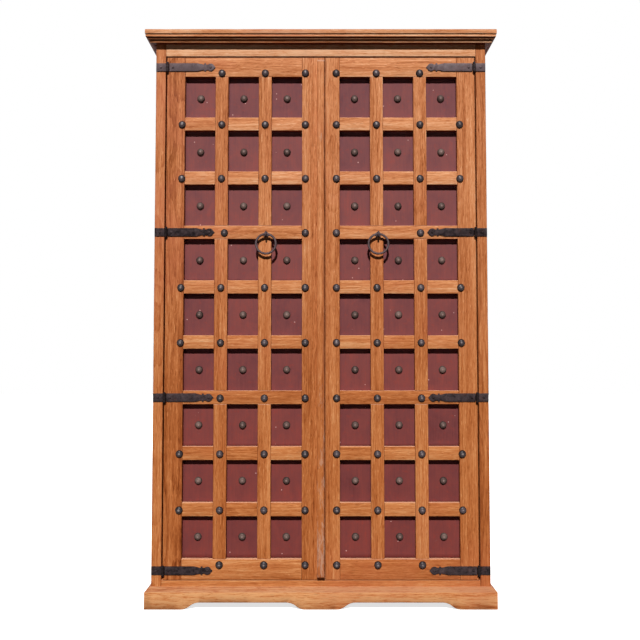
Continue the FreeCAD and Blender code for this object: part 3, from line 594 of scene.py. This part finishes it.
def dusted_and_highlighted(s, look, fibre, colour):
    """Pale dust and painted highlight on faces that look up, and painted shade on slopes. Also gives where
    the dust and highlight lie.
    """
    up = s.facing[2]
    slope = s.times(s.rise(up, *SLOPE_FROM), s.inverse(s.rise(up, *SLOPE_TO)))
    level = s.rise(up, *LEVEL_FROM)
    dust_and_highlight_mask = s.math("MAXIMUM", s.times(level, look["level"]), s.times(slope, look["dust_and_highlight"]))
    dust_and_highlight_mask = s.times(dust_and_highlight_mask, s.least(fibre, DUST_AND_HIGHLIGHT_LEAST))
    # Dust, and a painted highlight on up-facing ledges and chamfers
    colour = s.mix(dust_and_highlight_mask, colour, DUST_AND_HIGHLIGHT)
    # Painted shade: slopes multiplied by their finish's slope colour, and sideways slopes darker still
    colour = s.mix(slope, colour, look["slope"], blend="MULTIPLY")
    sideways = s.times(slope, s.rise(s.turned()[0], *SLOPE_TURNED))
    colour = s.mix(s.times(sideways, SLOPE_SHADE), colour, SHADE, blend="MULTIPLY")
    return colour, dust_and_highlight_mask


def shaded(s, look, colour):
    """Painted shade along the doors' top edge and on faces that look down, and deeper under mouldings."""
    # Painted shade along the doors' top edge
    if look["door_shade"]:
        topmost = s.rise(s.split(s.place)[2], *TOP_EDGE)
        colour = s.mix(s.times(topmost, look["door_shade"]), colour, EDGE_GRIME_AND_SHADE)
    # Painted shade on faces that look down
    below = s.rise(s.down(), *DOWN_SHADE)
    colour = s.mix(s.times(below, look["under"]), colour, SHADE, blend="MULTIPLY")
    # Deeper painted shade under mouldings
    if look["soffit_shade"]:
        soffit_shaded = s.rise(s.down(), *DOWN_SOFFIT_SHADE)
        colour = s.mix(s.times(soffit_shaded, look["soffit_shade"]), colour, DARK_KNOT_AND_SHADE)
    return colour


def handled(s, look, along, fibre, colour):
    """Hand grime beside the joint of the doors."""
    wander = s.around(pattern(s, along, "handled"), HANDLED_WANDER)
    away = s.math("ABSOLUTE", s.add(s.split(s.place)[0], -JOINT_X, wander))
    touched = s.times(s.inverse(s.rise(away, *HANDLED_REACH)), s.rise(fibre, *HANDLED_FIBRE))
    return s.mix(s.times(touched, look["joint"]), colour, HANDLED)


def rubbed(s, look, along, colour):
    """Finish worn off the strip: patches that grow toward the floor, and its top end."""
    high = s.split(s.place)[2]
    base = s.inverse(s.rise(high, *RUBBED_HEIGHTS))
    patches = s.add(pattern(s, along, "rubbed"), s.times(base, RUBBED_LOW))
    pale = s.math("MAXIMUM", s.rise(patches, *RUBBED_RISE), s.rise(high, *RUBBED_TOP))
    return s.mix(s.times(pale, look["worn"]), colour, PALE_WEAR)


def wood(name, axis, look):
    """Oiled hardwood: growth rings round a pith behind the board, fibres, pores, knots and wear."""
    s = Shader(name)
    local = s.split(s.less(s.place, s.own("pith").outputs["Vector"]))
    along = tuple(local[number] for number in GRAIN_ORDER[axis])
    made = wood_patterns(s, along)
    fibre = made["fibre"]
    colour = bare_wood(s, look, made)
    colour = grimed(s, axis, look, colour)
    colour, dust_and_highlight_mask = dusted_and_highlighted(s, look, fibre, colour)
    colour = shaded(s, look, colour)
    if look["joint"] and axis == "z":
        colour = handled(s, look, along, fibre, colour)
    if look["worn"]:
        colour = rubbed(s, look, along, colour)
    s.bump(s.sum_of(made, RELIEF), RELIEF_SHARE, RELIEF_DEEP)
    rough = s.add(
        look["rough"],
        s.around(fibre, FIBRE_ROUGH),
        s.times(made["pores"], PORE_ROUGH),
        s.times(dust_and_highlight_mask, DUST_ROUGH),
    )
    return s.finish(colour, rough, specular=WOOD_GLOSS)


# The panels' half sizes, and the paint's colours
PANEL_HALF_WIDE = 0.052
PANEL_HALF_HIGH = 0.0706
PAINT_STOPS = (
    (0.0, srgb(92, 56, 60)),
    (0.35, srgb(120, 74, 76)),
    (0.62, srgb(134, 80, 78)),
    (1.0, srgb(160, 82, 74)),
)
PAINT_RIM = srgb(120, 80, 86)
PAINT_MOTTLE = srgb(152, 76, 68)
PAINT_LOW = srgb(240, 194, 182)
PAINT_FLECK = srgb(222, 176, 168)
PAINT_SCUFF = srgb(182, 128, 118)

# How strong each of these is, and where it starts and ends
PAINT_SWING = {"cloud": 0.42, "streak": 0.20, "grit": 0.10}
PAINT_LIFT = 0.5
PAINT_RELIEF = {"streak": 0.5, "cloud": 0.3, "grit": 0.2}
PAINT_RELIEF_SHARE = 0.25
PAINT_RELIEF_DEEP = 0.6 * MM
GRIT_SCALE = 420.0
SPECKS = 46.0
SPECK_STRETCH = (1.0, 0.2, 1.0)
SPECK_REACH = (0.06, 0.12)
SPECK_CHOSEN = (0.86, 0.88)
SPECK_SHARE = 0.75
MOTTLE_RISE = (0.54, 0.70)
MOTTLE_SHARE = 0.4
SCRATCH_RISE = (0.70, 0.76)
SCUFF_RISE = (0.55, 0.64)
SCUFF_SHARE = 0.4
RIM_WANDER = 0.35
RIM_RISE = (0.62, 1.0)
RIM_SHARE = 0.25
LOW_PAINT = (0.2, 1.75)
LOW_SHARE = 0.85
CLOUD_ROUGH = 0.16
PAINT_ROUGH = 0.54
PAINT_GLOSS = 0.03


def paint(name):
    """Dull oxblood paint on the panels: cloudy, hazy near the edges, with flecks and scuffs."""
    s = Shader(name)
    parts = s.split(s.place)
    local = s.split(s.less(s.place, s.own("centre").outputs["Vector"]))
    made = {kind: pattern(s, parts, "paint_" + kind) for kind in ("cloud", "haze", "streak")}
    made["grit"] = s.noise(s.place, GRIT_SCALE)
    speck = s.cells(s.scaled(parts, SPECK_STRETCH), SPECKS)
    near = s.inverse(s.rise(speck.outputs["Distance"], *SPECK_REACH))
    fleck = s.times(s.rise(s.split(speck.outputs["Color"])[0], *SPECK_CHOSEN), near)
    mottle = s.rise(pattern(s, parts, "paint_mottle"), *MOTTLE_RISE)
    scratch = s.rise(pattern(s, parts, "paint_scratch"), *SCRATCH_RISE)
    scuff = s.times(scratch, s.rise(made["haze"], *SCUFF_RISE))
    value = s.add(s.own("tone").outputs["Fac"], *s.swings(made, PAINT_SWING), PAINT_LIFT)
    colour = s.ramp(value, PAINT_STOPS)
    aside = s.times(s.math("ABSOLUTE", local[0]), 1 / PANEL_HALF_WIDE)
    above = s.times(s.math("ABSOLUTE", local[2]), 1 / PANEL_HALF_HIGH)
    rim = s.rise(s.add(s.math("MAXIMUM", aside, above), s.around(made["haze"], RIM_WANDER)), *RIM_RISE)
    colour = s.mix(s.times(rim, RIM_SHARE), colour, PAINT_RIM)
    colour = s.mix(s.times(mottle, MOTTLE_SHARE), colour, PAINT_MOTTLE)
    low = s.inverse(s.rise(parts[2], *LOW_PAINT))
    colour = s.mix(s.times(low, LOW_SHARE), colour, PAINT_LOW, blend="MULTIPLY")
    colour = s.mix(s.times(fleck, SPECK_SHARE), colour, PAINT_FLECK)
    colour = s.mix(s.times(scuff, SCUFF_SHARE), colour, PAINT_SCUFF)
    s.bump(s.sum_of(made, PAINT_RELIEF), PAINT_RELIEF_SHARE, PAINT_RELIEF_DEEP)
    rough = s.math("MULTIPLY_ADD", made["cloud"], CLOUD_ROUGH, PAINT_ROUGH)
    return s.finish(colour, rough, specular=PAINT_GLOSS)


# The irons: dark and light colours, rust and its share, roughness and gloss, for nails the painted highlight
# on the crown, and the share of painted shade where faces turn from the front and beside the hinge knuckles
IRONS = {
    "iron": {
        "name": "forged_iron", "cold": srgb(22, 17, 19), "warm": srgb(116, 98, 100),
        "rust": srgb(92, 58, 50), "rusty": 0.5, "rough": 0.42, "specular": 0.05, "crown_highlight": None, "rim": 0.8,
    },
    "nail_iron": {
        "name": "nail_iron", "cold": srgb(30, 24, 26), "warm": srgb(90, 76, 80),
        "rust": srgb(88, 60, 52), "rusty": 0.4, "rough": 0.34, "specular": 0.18,
        "crown_highlight": srgb(166, 152, 148), "rim": 0.8,
    },
    "panel_iron": {
        "name": "dusty_iron", "cold": srgb(60, 45, 41), "warm": srgb(136, 111, 102),
        "rust": srgb(124, 86, 78), "rusty": 0.5, "rough": 0.46, "specular": 0.12,
        "crown_highlight": srgb(166, 140, 132), "rim": 0.6,
    },
}
PATCH_SCALE = 70.0
IRON_GRAIN_SCALE = 420.0
MARK_SCALE = 150.0
BLOOM_SCALE = 38.0
IRON_SWING = {"patches": 0.45, "grain": 0.25}
IRON_LIFT = 0.4
IRON_RELIEF = {"marks": 0.8, "patches": 0.5, "grain": 0.25}
IRON_RELIEF_SHARE = 0.3
IRON_RELIEF_DEEP = 0.9 * MM
BLOOM_RISE = (0.52, 0.74)
BLOOM_ROUGH = 0.22
IRON_GRAIN_ROUGH = 0.08
# The painted highlight on a nail's crown: how its edge wanders, where it fades and its share
CROWN_WANDER = 3.0 * MM
CROWN_REACH = (1.0 * MM, 5.0 * MM)
CROWN_SHARE = 0.6
# Where iron gets painted shade: heads and straps by how far their faces turn from the front, and beside the
# hinge pins
HEAD_TURNED = (0.60, 0.99)
LEAF_TURNED = (0.45, 0.95)
KNUCKLE_REACH = (5.5 * MM, 8.0 * MM)


def iron(name, cold, warm, rust, rusty, rough, specular, crown_highlight, rim):
    """Forged iron under old wax: brown bloom, hammer marks, painted shade on turned faces and knuckles, and
    on nails a painted highlight.
    """
    s = Shader(name)
    made = {
        "patches": s.noise(s.place, PATCH_SCALE, detail=4.0, roughness=0.6),
        "grain": s.noise(s.place, IRON_GRAIN_SCALE, detail=3.0),
        "marks": s.cells(s.place, MARK_SCALE, feature="SMOOTH_F1").outputs["Distance"],
    }
    value = s.add(s.own("tone").outputs["Fac"], *s.swings(made, IRON_SWING), IRON_LIFT)
    colour = s.ramp(value, ((0.0, cold), (1.0, warm)))
    bloom = s.rise(s.noise(s.place, BLOOM_SCALE, detail=5.0, roughness=0.7), *BLOOM_RISE)
    bloom = s.times(bloom, rusty)
    colour = s.mix(bloom, colour, rust)
    turned = s.turned()[1]
    # On nails, a lighter spot painted on the crown as a painted highlight
    if crown_highlight:
        local = s.split(s.less(s.place, s.own("centre").outputs["Vector"]))
        out = s.math("SQRT", s.add(s.times(local[0], local[0]), s.times(local[2], local[2])))
        out = s.add(out, s.around(made["patches"], CROWN_WANDER))
        colour = s.mix(s.times(s.inverse(s.rise(out, *CROWN_REACH)), CROWN_SHARE), colour, crown_highlight)
        dark = s.inverse(s.rise(turned, *HEAD_TURNED))
    else:
        across = s.math("ABSOLUTE", s.add(s.math("ABSOLUTE", s.split(s.place)[0]), -PIN_OUT))
        knuckle = s.inverse(s.rise(across, *KNUCKLE_REACH))
        dark = s.math("MAXIMUM", s.inverse(s.rise(turned, *LEAF_TURNED)), knuckle)
    # Painted shade on the heads' rims, the straps' turned faces and the hinge knuckles
    colour = s.mix(s.times(dark, rim), colour, IRON_SHADE)
    s.bump(s.sum_of(made, IRON_RELIEF), IRON_RELIEF_SHARE, IRON_RELIEF_DEEP)
    roughness = s.add(rough, s.around(made["grain"], IRON_GRAIN_ROUGH), s.times(bloom, BLOOM_ROUGH))
    return s.finish(colour, roughness, specular=specular)


# The plain made pieces: plastic catches and steel plates
CATCH_BROWN = srgb(84, 52, 34)
CATCH_WORN = srgb(100, 66, 46)
CATCH_ROUGH = 0.4
STEEL_GREY = srgb(150, 148, 144)
STEEL_WORN = srgb(186, 184, 180)
STEEL_ROUGH = 0.3
MADE_PATCH_SCALE = 90.0
MADE_SHARES = {"patches": 0.5, "lines": 0.5}
MADE_RISE = (0.35, 0.7)
MADE_LINES_SHARE = 0.15
MADE_LINES_DEEP = 0.2 * MM
MADE_LINES_ROUGH = 0.2
MADE_GLOSS = 0.5


def moulded(name, colour, worn, rough, metallic=0.0):
    """A plain made surface with fine scratches: the catches and the strike plates."""
    s = Shader(name)
    made = {
        "patches": s.noise(s.place, MADE_PATCH_SCALE, detail=3.0),
        "lines": pattern(s, s.split(s.place), "made_lines"),
    }
    colour = s.mix(s.rise(s.sum_of(made, MADE_SHARES), *MADE_RISE), colour, worn)
    s.bump(made["lines"], MADE_LINES_SHARE, MADE_LINES_DEEP)
    roughness = s.math("MULTIPLY_ADD", made["lines"], MADE_LINES_ROUGH, rough)
    return s.finish(colour, roughness, specular=MADE_GLOSS, metallic=metallic)


def make_materials():
    made = {"panel_paint": paint("panel_paint")}
    for finish, look in LOOKS.items():
        for axis in GRAIN_ORDER:
            made[f"{finish}_{axis}"] = wood(f"{finish}_wood_{axis}", axis, look)
    for key, values in IRONS.items():
        made[key] = iron(**values)
    made["catch_plastic"] = moulded("catch_plastic", CATCH_BROWN, CATCH_WORN, CATCH_ROUGH)
    made["strike_steel"] = moulded("strike_steel", STEEL_GREY, STEEL_WORN, STEEL_ROUGH, metallic=1.0)
    return made


MATERIALS = make_materials()

# How light a member's wood is, by a part of its name
TONES = {
    "right_meeting_stile": 0.58,
    "right_hinge_stile": 0.51,
    "hinge_stile": 0.47,
    "meeting_stile": 0.49,
    "meeting_strip": 0.57,
    "muntins": 0.56,
    "right_crossbars": 0.70,
    "crossbars": 0.65,
    "mid_rails": 0.60,
    "face_rail_top": 0.88,
    "face_rail_bottom": 0.70,
    "top_rail": 0.62,
    "bottom_rail": 0.63,
    "post_front_left": 0.62,
    "post_front_right": 0.49,
    "post_": 0.53,
    "cornice": 0.66,
    "top_board": 0.72,
    "plinth": 0.89,
    "side_rails": 0.50,
    "side_panels": 0.44,
}
TONE_PLAIN = 0.46
TONE_SPREAD = 0.05


def tone_of(node):
    return next((tone for part, tone in TONES.items() if part in node), TONE_PLAIN)


def islands(work):
    """The separate solids of a mesh, as lists of vertices, in a steady order."""
    groups = []
    left = set(work.verts)
    for first in work.verts:
        if first not in left:
            continue
        left.discard(first)
        group = [first]
        for vert in group:
            for edge in vert.link_edges:
                other = edge.other_vert(vert)
                if other in left:
                    left.discard(other)
                    group.append(other)
        groups.append(group)
    return groups


def box_of(group):
    """The lowest and highest corner of a list of vertices."""
    low = Vector([min(vert.co[axis] for vert in group) for axis in range(3)])
    high = Vector([max(vert.co[axis] for vert in group) for axis in range(3)])
    return low, high


def mesh_of(node):
    """A node's shape with its triangles joined into whole faces."""
    work = bmesh.new()
    work.from_mesh(frame["nodes"][node].data)
    bmesh.ops.remove_doubles(work, verts=work.verts, dist=WELD)
    bmesh.ops.dissolve_limit(work, angle_limit=FLAT_ANGLE, verts=work.verts, edges=work.edges)
    return work


def slice_up(work, axis, step):
    """Cut a mesh across one axis into lengths of about one step."""
    low, high = box_of(work.verts)
    way = Vector([float(number == axis) for number in range(3)])
    count = max(2, round((high[axis] - low[axis]) / step))
    for number in range(1, count):
        spot = low.copy()
        spot[axis] += (high[axis] - low[axis]) * (number + CUT_SHIFT) / count
        if spot[axis] < high[axis]:
            geometry = [*work.verts, *work.edges, *work.faces]
            bmesh.ops.bisect_plane(work, geom=geometry, dist=WELD, plane_co=spot, plane_no=way)


def wear(work, depth):
    """Sink the corners of a piece a little, unevenly, with a dent here and there."""
    for vert in work.verts:
        soft = noise.noise(vert.co * WEAR_SCALE) * 0.5 + 0.5
        dent = max(0.0, noise.noise(vert.co * DENT_SCALE + DENT_SHIFT) - DENT_FROM) * DENT_DEEP
        vert.co -= vert.normal * depth * (WEAR_SOFT * soft + dent)


def seed_wood(work, node, axis, tone, spread, ringy=None):
    """Give each board a pith line, a tone and a strength of its rings of its own."""
    pith = work.verts.layers.float_vector.new("pith")
    shade = work.verts.layers.float.new("tone")
    rings = work.verts.layers.float.new("ringy")
    chance = random.Random(node)
    order = GRAIN_ORDER[axis]
    for group in islands(work):
        low, high = box_of(group)
        spot = (low + high) / 2
        spot[order[0]] += chance.uniform(-PITH_ALONG, PITH_ALONG)
        spot[order[1]] += chance.uniform(-PITH_ASIDE, PITH_ASIDE)
        spot[order[2]] += chance.choice((-1, 1)) * chance.uniform(*PITH_BEHIND)
        own_tone = tone + chance.uniform(-spread, spread)
        own_rings = ringy or chance.uniform(*RINGY)
        for vert in group:
            vert[pith] = spot
            vert[shade] = own_tone
            vert[rings] = own_rings


def seed_made(work, node, spread, tone_at=None):
    """Give each solid of another material its centre and a tone of its own."""
    centre = work.verts.layers.float_vector.new("centre")
    shade = work.verts.layers.float.new("tone")
    chance = random.Random(node)
    for group in islands(work):
        low, high = box_of(group)
        spot = (low + high) / 2
        own_tone = chance.uniform(-spread, spread) + (tone_at(spot) if tone_at else 0.0)
        for vert in group:
            vert[centre] = spot
            vert[shade] = own_tone


def finish_piece(work, name, node, material, ease=EASE):
    """Turn a mesh into a piece that stands for a node and rides with its body."""
    bmesh.ops.recalc_face_normals(work, faces=work.faces)
    mesh = bpy.data.meshes.new(name)
    work.to_mesh(mesh)
    work.free()
    mesh.materials.append(material)
    mesh.polygons.foreach_set("use_smooth", [True] * len(mesh.polygons))
    piece = bpy.data.objects.new(name, mesh)
    bpy.context.scene.collection.objects.link(piece)
    if ease:
        bevel = piece.modifiers.new("eased", "BEVEL")
        bevel.width = ease
        bevel.segments = 2
        bevel.limit_method = "ANGLE"
        bevel.angle_limit = EASE_ANGLE
        bevel.harden_normals = True
    cad = frame["nodes"][node]
    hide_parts(node)
    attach(piece, cad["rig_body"])


def longest_axis(work):
    low, high = box_of(islands(work)[0])
    sides = high - low
    return "xyz"[max(range(3), key=lambda number: sides[number])]


def dress_wood(node, finish="finished", spread=TONE_SPREAD, depth=WOOD_WEAR, step=STEP):
    work = mesh_of(node)
    axis = longest_axis(work)
    slice_up(work, "xyz".index(axis), step)
    ringy = 1.0 if node.startswith("post_") else None
    seed_wood(work, node, axis, tone_of(node), spread, ringy)
    wear(work, depth)
    ease = {"bare": EASE, "trim": TRIM_EASE}.get(finish, WOOD_EASE)
    finish_piece(work, node + "_wood", node, MATERIALS[f"{finish}_{axis}"], ease=ease)


CASE_NODES = (
    "post_front_left", "post_front_right", "post_back_left", "post_back_right",
    "face_rail_bottom", "side_rails", "side_panels", "plinth_back",
)
TRIM_NODES = (
    "face_rail_top", "top_board", "cornice_front", "cornice_left", "cornice_right",
)
PLINTH_NODES = ("plinth_front", "plinth_left", "plinth_right")
INNER_NODES = (
    "back_rails", "floor_board", "shelf_upper", "shelf_middle", "shelf_lower", "shelf_cleats", "door_stops",
)
DOOR_NODES = (
    "hinge_stile", "meeting_stile", "top_rail", "bottom_rail", "mid_rails", "muntins", "crossbars",
)


def dress_case():
    for node in CASE_NODES:
        dress_wood(node)
    for node in TRIM_NODES:
        dress_wood(node, finish="trim")
    for node in PLINTH_NODES:
        dress_wood(node, finish="plinth")
    for node in INNER_NODES:
        dress_wood(node, finish="bare")


BACK_COUNT = 6
BACK_LAP = 8 * MM
BACK_PLAY = 0.8 * MM
BACK_SPREAD = 0.16
BACK_WEAR = 0.3 * MM
BACK_EASE = 1.8 * MM


def dress_back():
    """Lapped boards: each is one upright with half its thickness shifted over its neighbour."""
    low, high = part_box("back_boards")
    wide = (high.x - low.x) / BACK_COUNT
    middle = (low.y + high.y) / 2
    work = bmesh.new()
    for number in range(BACK_COUNT):
        first_one = number == 0
        last_one = number == BACK_COUNT - 1
        left = low.x + wide * number
        right = left + wide
        under = left if first_one else left + BACK_LAP + BACK_PLAY
        over = right if last_one else right + BACK_LAP
        edge = right if last_one else right - BACK_PLAY / 2
        outline = [
            (left, low.y), (edge, low.y), (edge, middle), (over, middle),
            (over, high.y), (under, high.y), (under, middle), (left, middle),
        ]
        if first_one:
            outline.remove((under, middle))
        if last_one:
            outline.remove((over, middle))
        rows = [[work.verts.new((x, y, z)) for x, y in outline] for z in (low.z, high.z)]
        work.faces.new(rows[0])
        work.faces.new(list(reversed(rows[1])))
        for first in range(len(outline)):
            second = (first + 1) % len(outline)
            work.faces.new((rows[0][first], rows[0][second], rows[1][second], rows[1][first]))
    bmesh.ops.recalc_face_normals(work, faces=work.faces)
    slice_up(work, 2, STEP)
    seed_wood(work, "back_boards", "z", tone_of("back_boards"), BACK_SPREAD)
    wear(work, BACK_WEAR)
    finish_piece(work, "back_boards_wood", "back_boards", MATERIALS["bare_z"], ease=BACK_EASE)


def dress_door(side):
    for node in DOOR_NODES:
        dress_wood(f"{side}_{node}", finish="door")
    dress_panels(side)


PANEL_STEP = 16 * MM
PANEL_SPREAD = 0.12
PANEL_HOLLOW = 0.35 * MM
PANEL_SCALE = 21.0


def dress_panels(side):
    """Panels with a faint hollow and uneven faces."""
    node = side + "_panels"
    work = mesh_of(node)
    for axis in (0, 2):
        slice_up(work, axis, PANEL_STEP)
    seed_made(work, node, PANEL_SPREAD)
    for vert in work.verts:
        vert.co -= vert.normal * PANEL_HOLLOW * (noise.noise(vert.co * PANEL_SCALE) * 0.5 + 0.5)
    finish_piece(work, node + "_painted", node, MATERIALS["panel_paint"], ease=None)


# The iron

# The uppermost hinges are painted lighter as a painted sheen, and the lower ones darker
TOP_HINGE_FROM = 1.7
TOP_SHEEN = 0.36
LOW_SHEEN = -0.20
RING_TONE = 0.30
IRON_SPREAD = 0.08
IRON_WEAR = 0.25 * MM
IRON_EASE = 0.45 * MM
STRAP_STEP = 9 * MM
ROUND_STEP = 30 * MM

# Domed heads: radius, height and rim of the clavos and of the straps' nails
CLAVO = (13 * MM, 9 * MM, 1.0 * MM)
STRAP_NAIL = (4.2 * MM, 2.8 * MM, 0.5 * MM)
CLAVO_SPREAD = 0.25
HEAD_EASE = 0.35 * MM
HEAD_ROWS = 6
HEAD_AROUND = 22

# How uneven a head is: its lean, least width and height, and the dents round its rim and over its height
HEAD_LEAN = 0.05
HEAD_LEAST_WIDE = 0.97
HEAD_LEAST_HIGH = 0.96
HEAD_DENTS = 1.7
HEAD_DENTS_HIGH = 260
HEAD_APART = 900
HEAD_DENT_RIM = 0.03
HEAD_DENT_HIGH = 0.05


def add_dome(work, centre, radius, high, rim, chance):
    """A hand-beaten domed head facing -y, with its back on the surface at centre."""
    tilt = (chance.uniform(-HEAD_LEAN, HEAD_LEAN), chance.uniform(-HEAD_LEAN, HEAD_LEAN))
    swing = chance.uniform(0, math.tau)
    grown = chance.uniform(HEAD_LEAST_WIDE, 1.0)
    rows = [(1.0, 0.0), (1.0, rim)]
    for number in range(1, HEAD_ROWS):
        angle = math.pi / 2 * number / HEAD_ROWS
        rows.append((math.cos(angle), rim + (high - rim) * math.sin(angle)))
    made = []
    for across, ahead in rows:
        row = []
        for number in range(HEAD_AROUND):
            angle = math.tau * number / HEAD_AROUND + swing
            place = (math.cos(angle) * HEAD_DENTS, math.sin(angle) * HEAD_DENTS, ahead * HEAD_DENTS_HIGH)
            dent = noise.noise(Vector(place) + centre * HEAD_APART)
            reach = radius * grown * across * (1 + HEAD_DENT_RIM * min(dent, 0.0))
            x = reach * math.cos(angle)
            z = reach * math.sin(angle)
            lift = ahead * (1 + HEAD_DENT_HIGH * dent) + (tilt[0] * x + tilt[1] * z) * (ahead > 0)
            row.append(work.verts.new((centre.x + x, centre.y - max(0.0, min(lift, high)), centre.z + z)))
        made.append(row)
    top = work.verts.new((centre.x, centre.y - high * chance.uniform(HEAD_LEAST_HIGH, 1.0), centre.z))
    back = work.verts.new(centre)
    for low_row, high_row in zip(made, made[1:]):
        for number in range(HEAD_AROUND):
            after = (number + 1) % HEAD_AROUND
            work.faces.new((low_row[number], low_row[after], high_row[after], high_row[number]))
    for number in range(HEAD_AROUND):
        after = (number + 1) % HEAD_AROUND
        work.faces.new((made[-1][number], made[-1][after], top))
        work.faces.new((made[0][after], made[0][number], back))


def dress_studs(node, material, sizes, spread=CLAVO_SPREAD, tone_at=None):
    """Domed heads in place of a node's nails, each a little different."""
    radius, high, rim = sizes
    source = bmesh.new()
    source.from_mesh(frame["nodes"][node].data)
    bmesh.ops.remove_doubles(source, verts=source.verts, dist=WELD)
    chance = random.Random(node)
    work = bmesh.new()
    for group in islands(source):
        low, high_corner = box_of(group)
        centre = (low + high_corner) / 2
        centre.y = low.y + high
        add_dome(work, centre, radius, high, rim, chance)
    source.free()
    seed_made(work, node, spread, tone_at)
    finish_piece(work, node + "_heads", node, MATERIALS[material], ease=HEAD_EASE)


def sheen_at(spot):
    """The uppermost hinges are painted lighter, as a painted sheen, and the rest darker."""
    return TOP_SHEEN if spot.z > TOP_HINGE_FROM else LOW_SHEEN


def dress_iron(node, step, depth=IRON_WEAR, tone_at=sheen_at):
    work = mesh_of(node)
    slice_up(work, 0, step)
    seed_made(work, node, IRON_SPREAD, tone_at)
    wear(work, depth)
    finish_piece(work, node + "_forged", node, MATERIALS["iron"], ease=IRON_EASE)


# The ring's mesh, and how far its section is from round
RING_AROUND = 96
RING_SECTION = 20
RING_DENTS = 6.0
RING_APART = 9
RING_UNROUND = 0.04
RING_BEATEN = 1.6


def dress_ring(node):
    """A forged ring, never quite round in its section."""
    low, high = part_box(node)
    centre = (low + high) / 2
    wire = (high.y - low.y) / 2
    radius = (high.x - low.x) / 2 - wire
    work = bmesh.new()
    rows = []
    for number in range(RING_AROUND):
        angle = math.tau * number / RING_AROUND
        out = Vector((math.cos(angle), 0, math.sin(angle)))
        row = []
        for step in range(RING_SECTION):
            turn = math.tau * step / RING_SECTION
            place = Vector((math.cos(turn), centre.x * RING_APART, math.sin(turn)))
            beaten = noise.noise(out * RING_DENTS + place) * RING_BEATEN
            reach = wire * (1 - RING_UNROUND + RING_UNROUND * max(-1.0, min(beaten, 1.0)))
            ahead = Vector((0, -math.cos(turn), 0)) + out * math.sin(turn)
            row.append(work.verts.new(centre + out * radius + ahead * reach))
        rows.append(row)
    for number in range(RING_AROUND):
        one, two = rows[number], rows[(number + 1) % RING_AROUND]
        for step in range(RING_SECTION):
            after = (step + 1) % RING_SECTION
            work.faces.new((one[step], one[after], two[after], two[step]))
    seed_made(work, node, 0.0, lambda spot: RING_TONE)
    finish_piece(work, node + "_forged", node, MATERIALS["iron"], ease=None)


def dress_hardware():
    dress_iron("hinge_frame_leaves", STRAP_STEP)
    dress_iron("hinge_pins", ROUND_STEP, depth=0.0)
    dress_studs("frame_leaf_nails", "iron", STRAP_NAIL, IRON_SPREAD, sheen_at)
    for side in ("left", "right"):
        dress_iron(side + "_strap_hinges", STRAP_STEP)
        dress_iron(side + "_pull_eye", ROUND_STEP, depth=0.0, tone_at=lambda spot: RING_TONE)
        dress_studs(side + "_strap_nails", "iron", STRAP_NAIL, IRON_SPREAD, sheen_at)
        dress_studs(side + "_frame_clavos", "nail_iron", CLAVO)
        dress_studs(side + "_panel_clavos", "panel_iron", CLAVO)
        dress_ring(side + "_ring")


KEPT_NODES = {
    "magnet_catches": "catch_plastic",
    "left_strike_plate": "strike_steel",
    "right_strike_plate": "strike_steel",
}

# The strip is worn more, so it is cut finer
STRIP_WEAR = 1.2 * MM
STRIP_STEP = 9 * MM


def paint_kept():
    """The few CAD pieces that keep their own meshes."""
    for node, material in KEPT_NODES.items():
        for slot in frame["nodes"][node].material_slots:
            slot.material = MATERIALS[material]


make_camera()
make_stage()
dress_case()
dress_back()
for side in ("left", "right"):
    dress_door(side)
dress_wood("meeting_strip", finish="strip", depth=STRIP_WEAR, step=STRIP_STEP)
dress_hardware()
paint_kept()
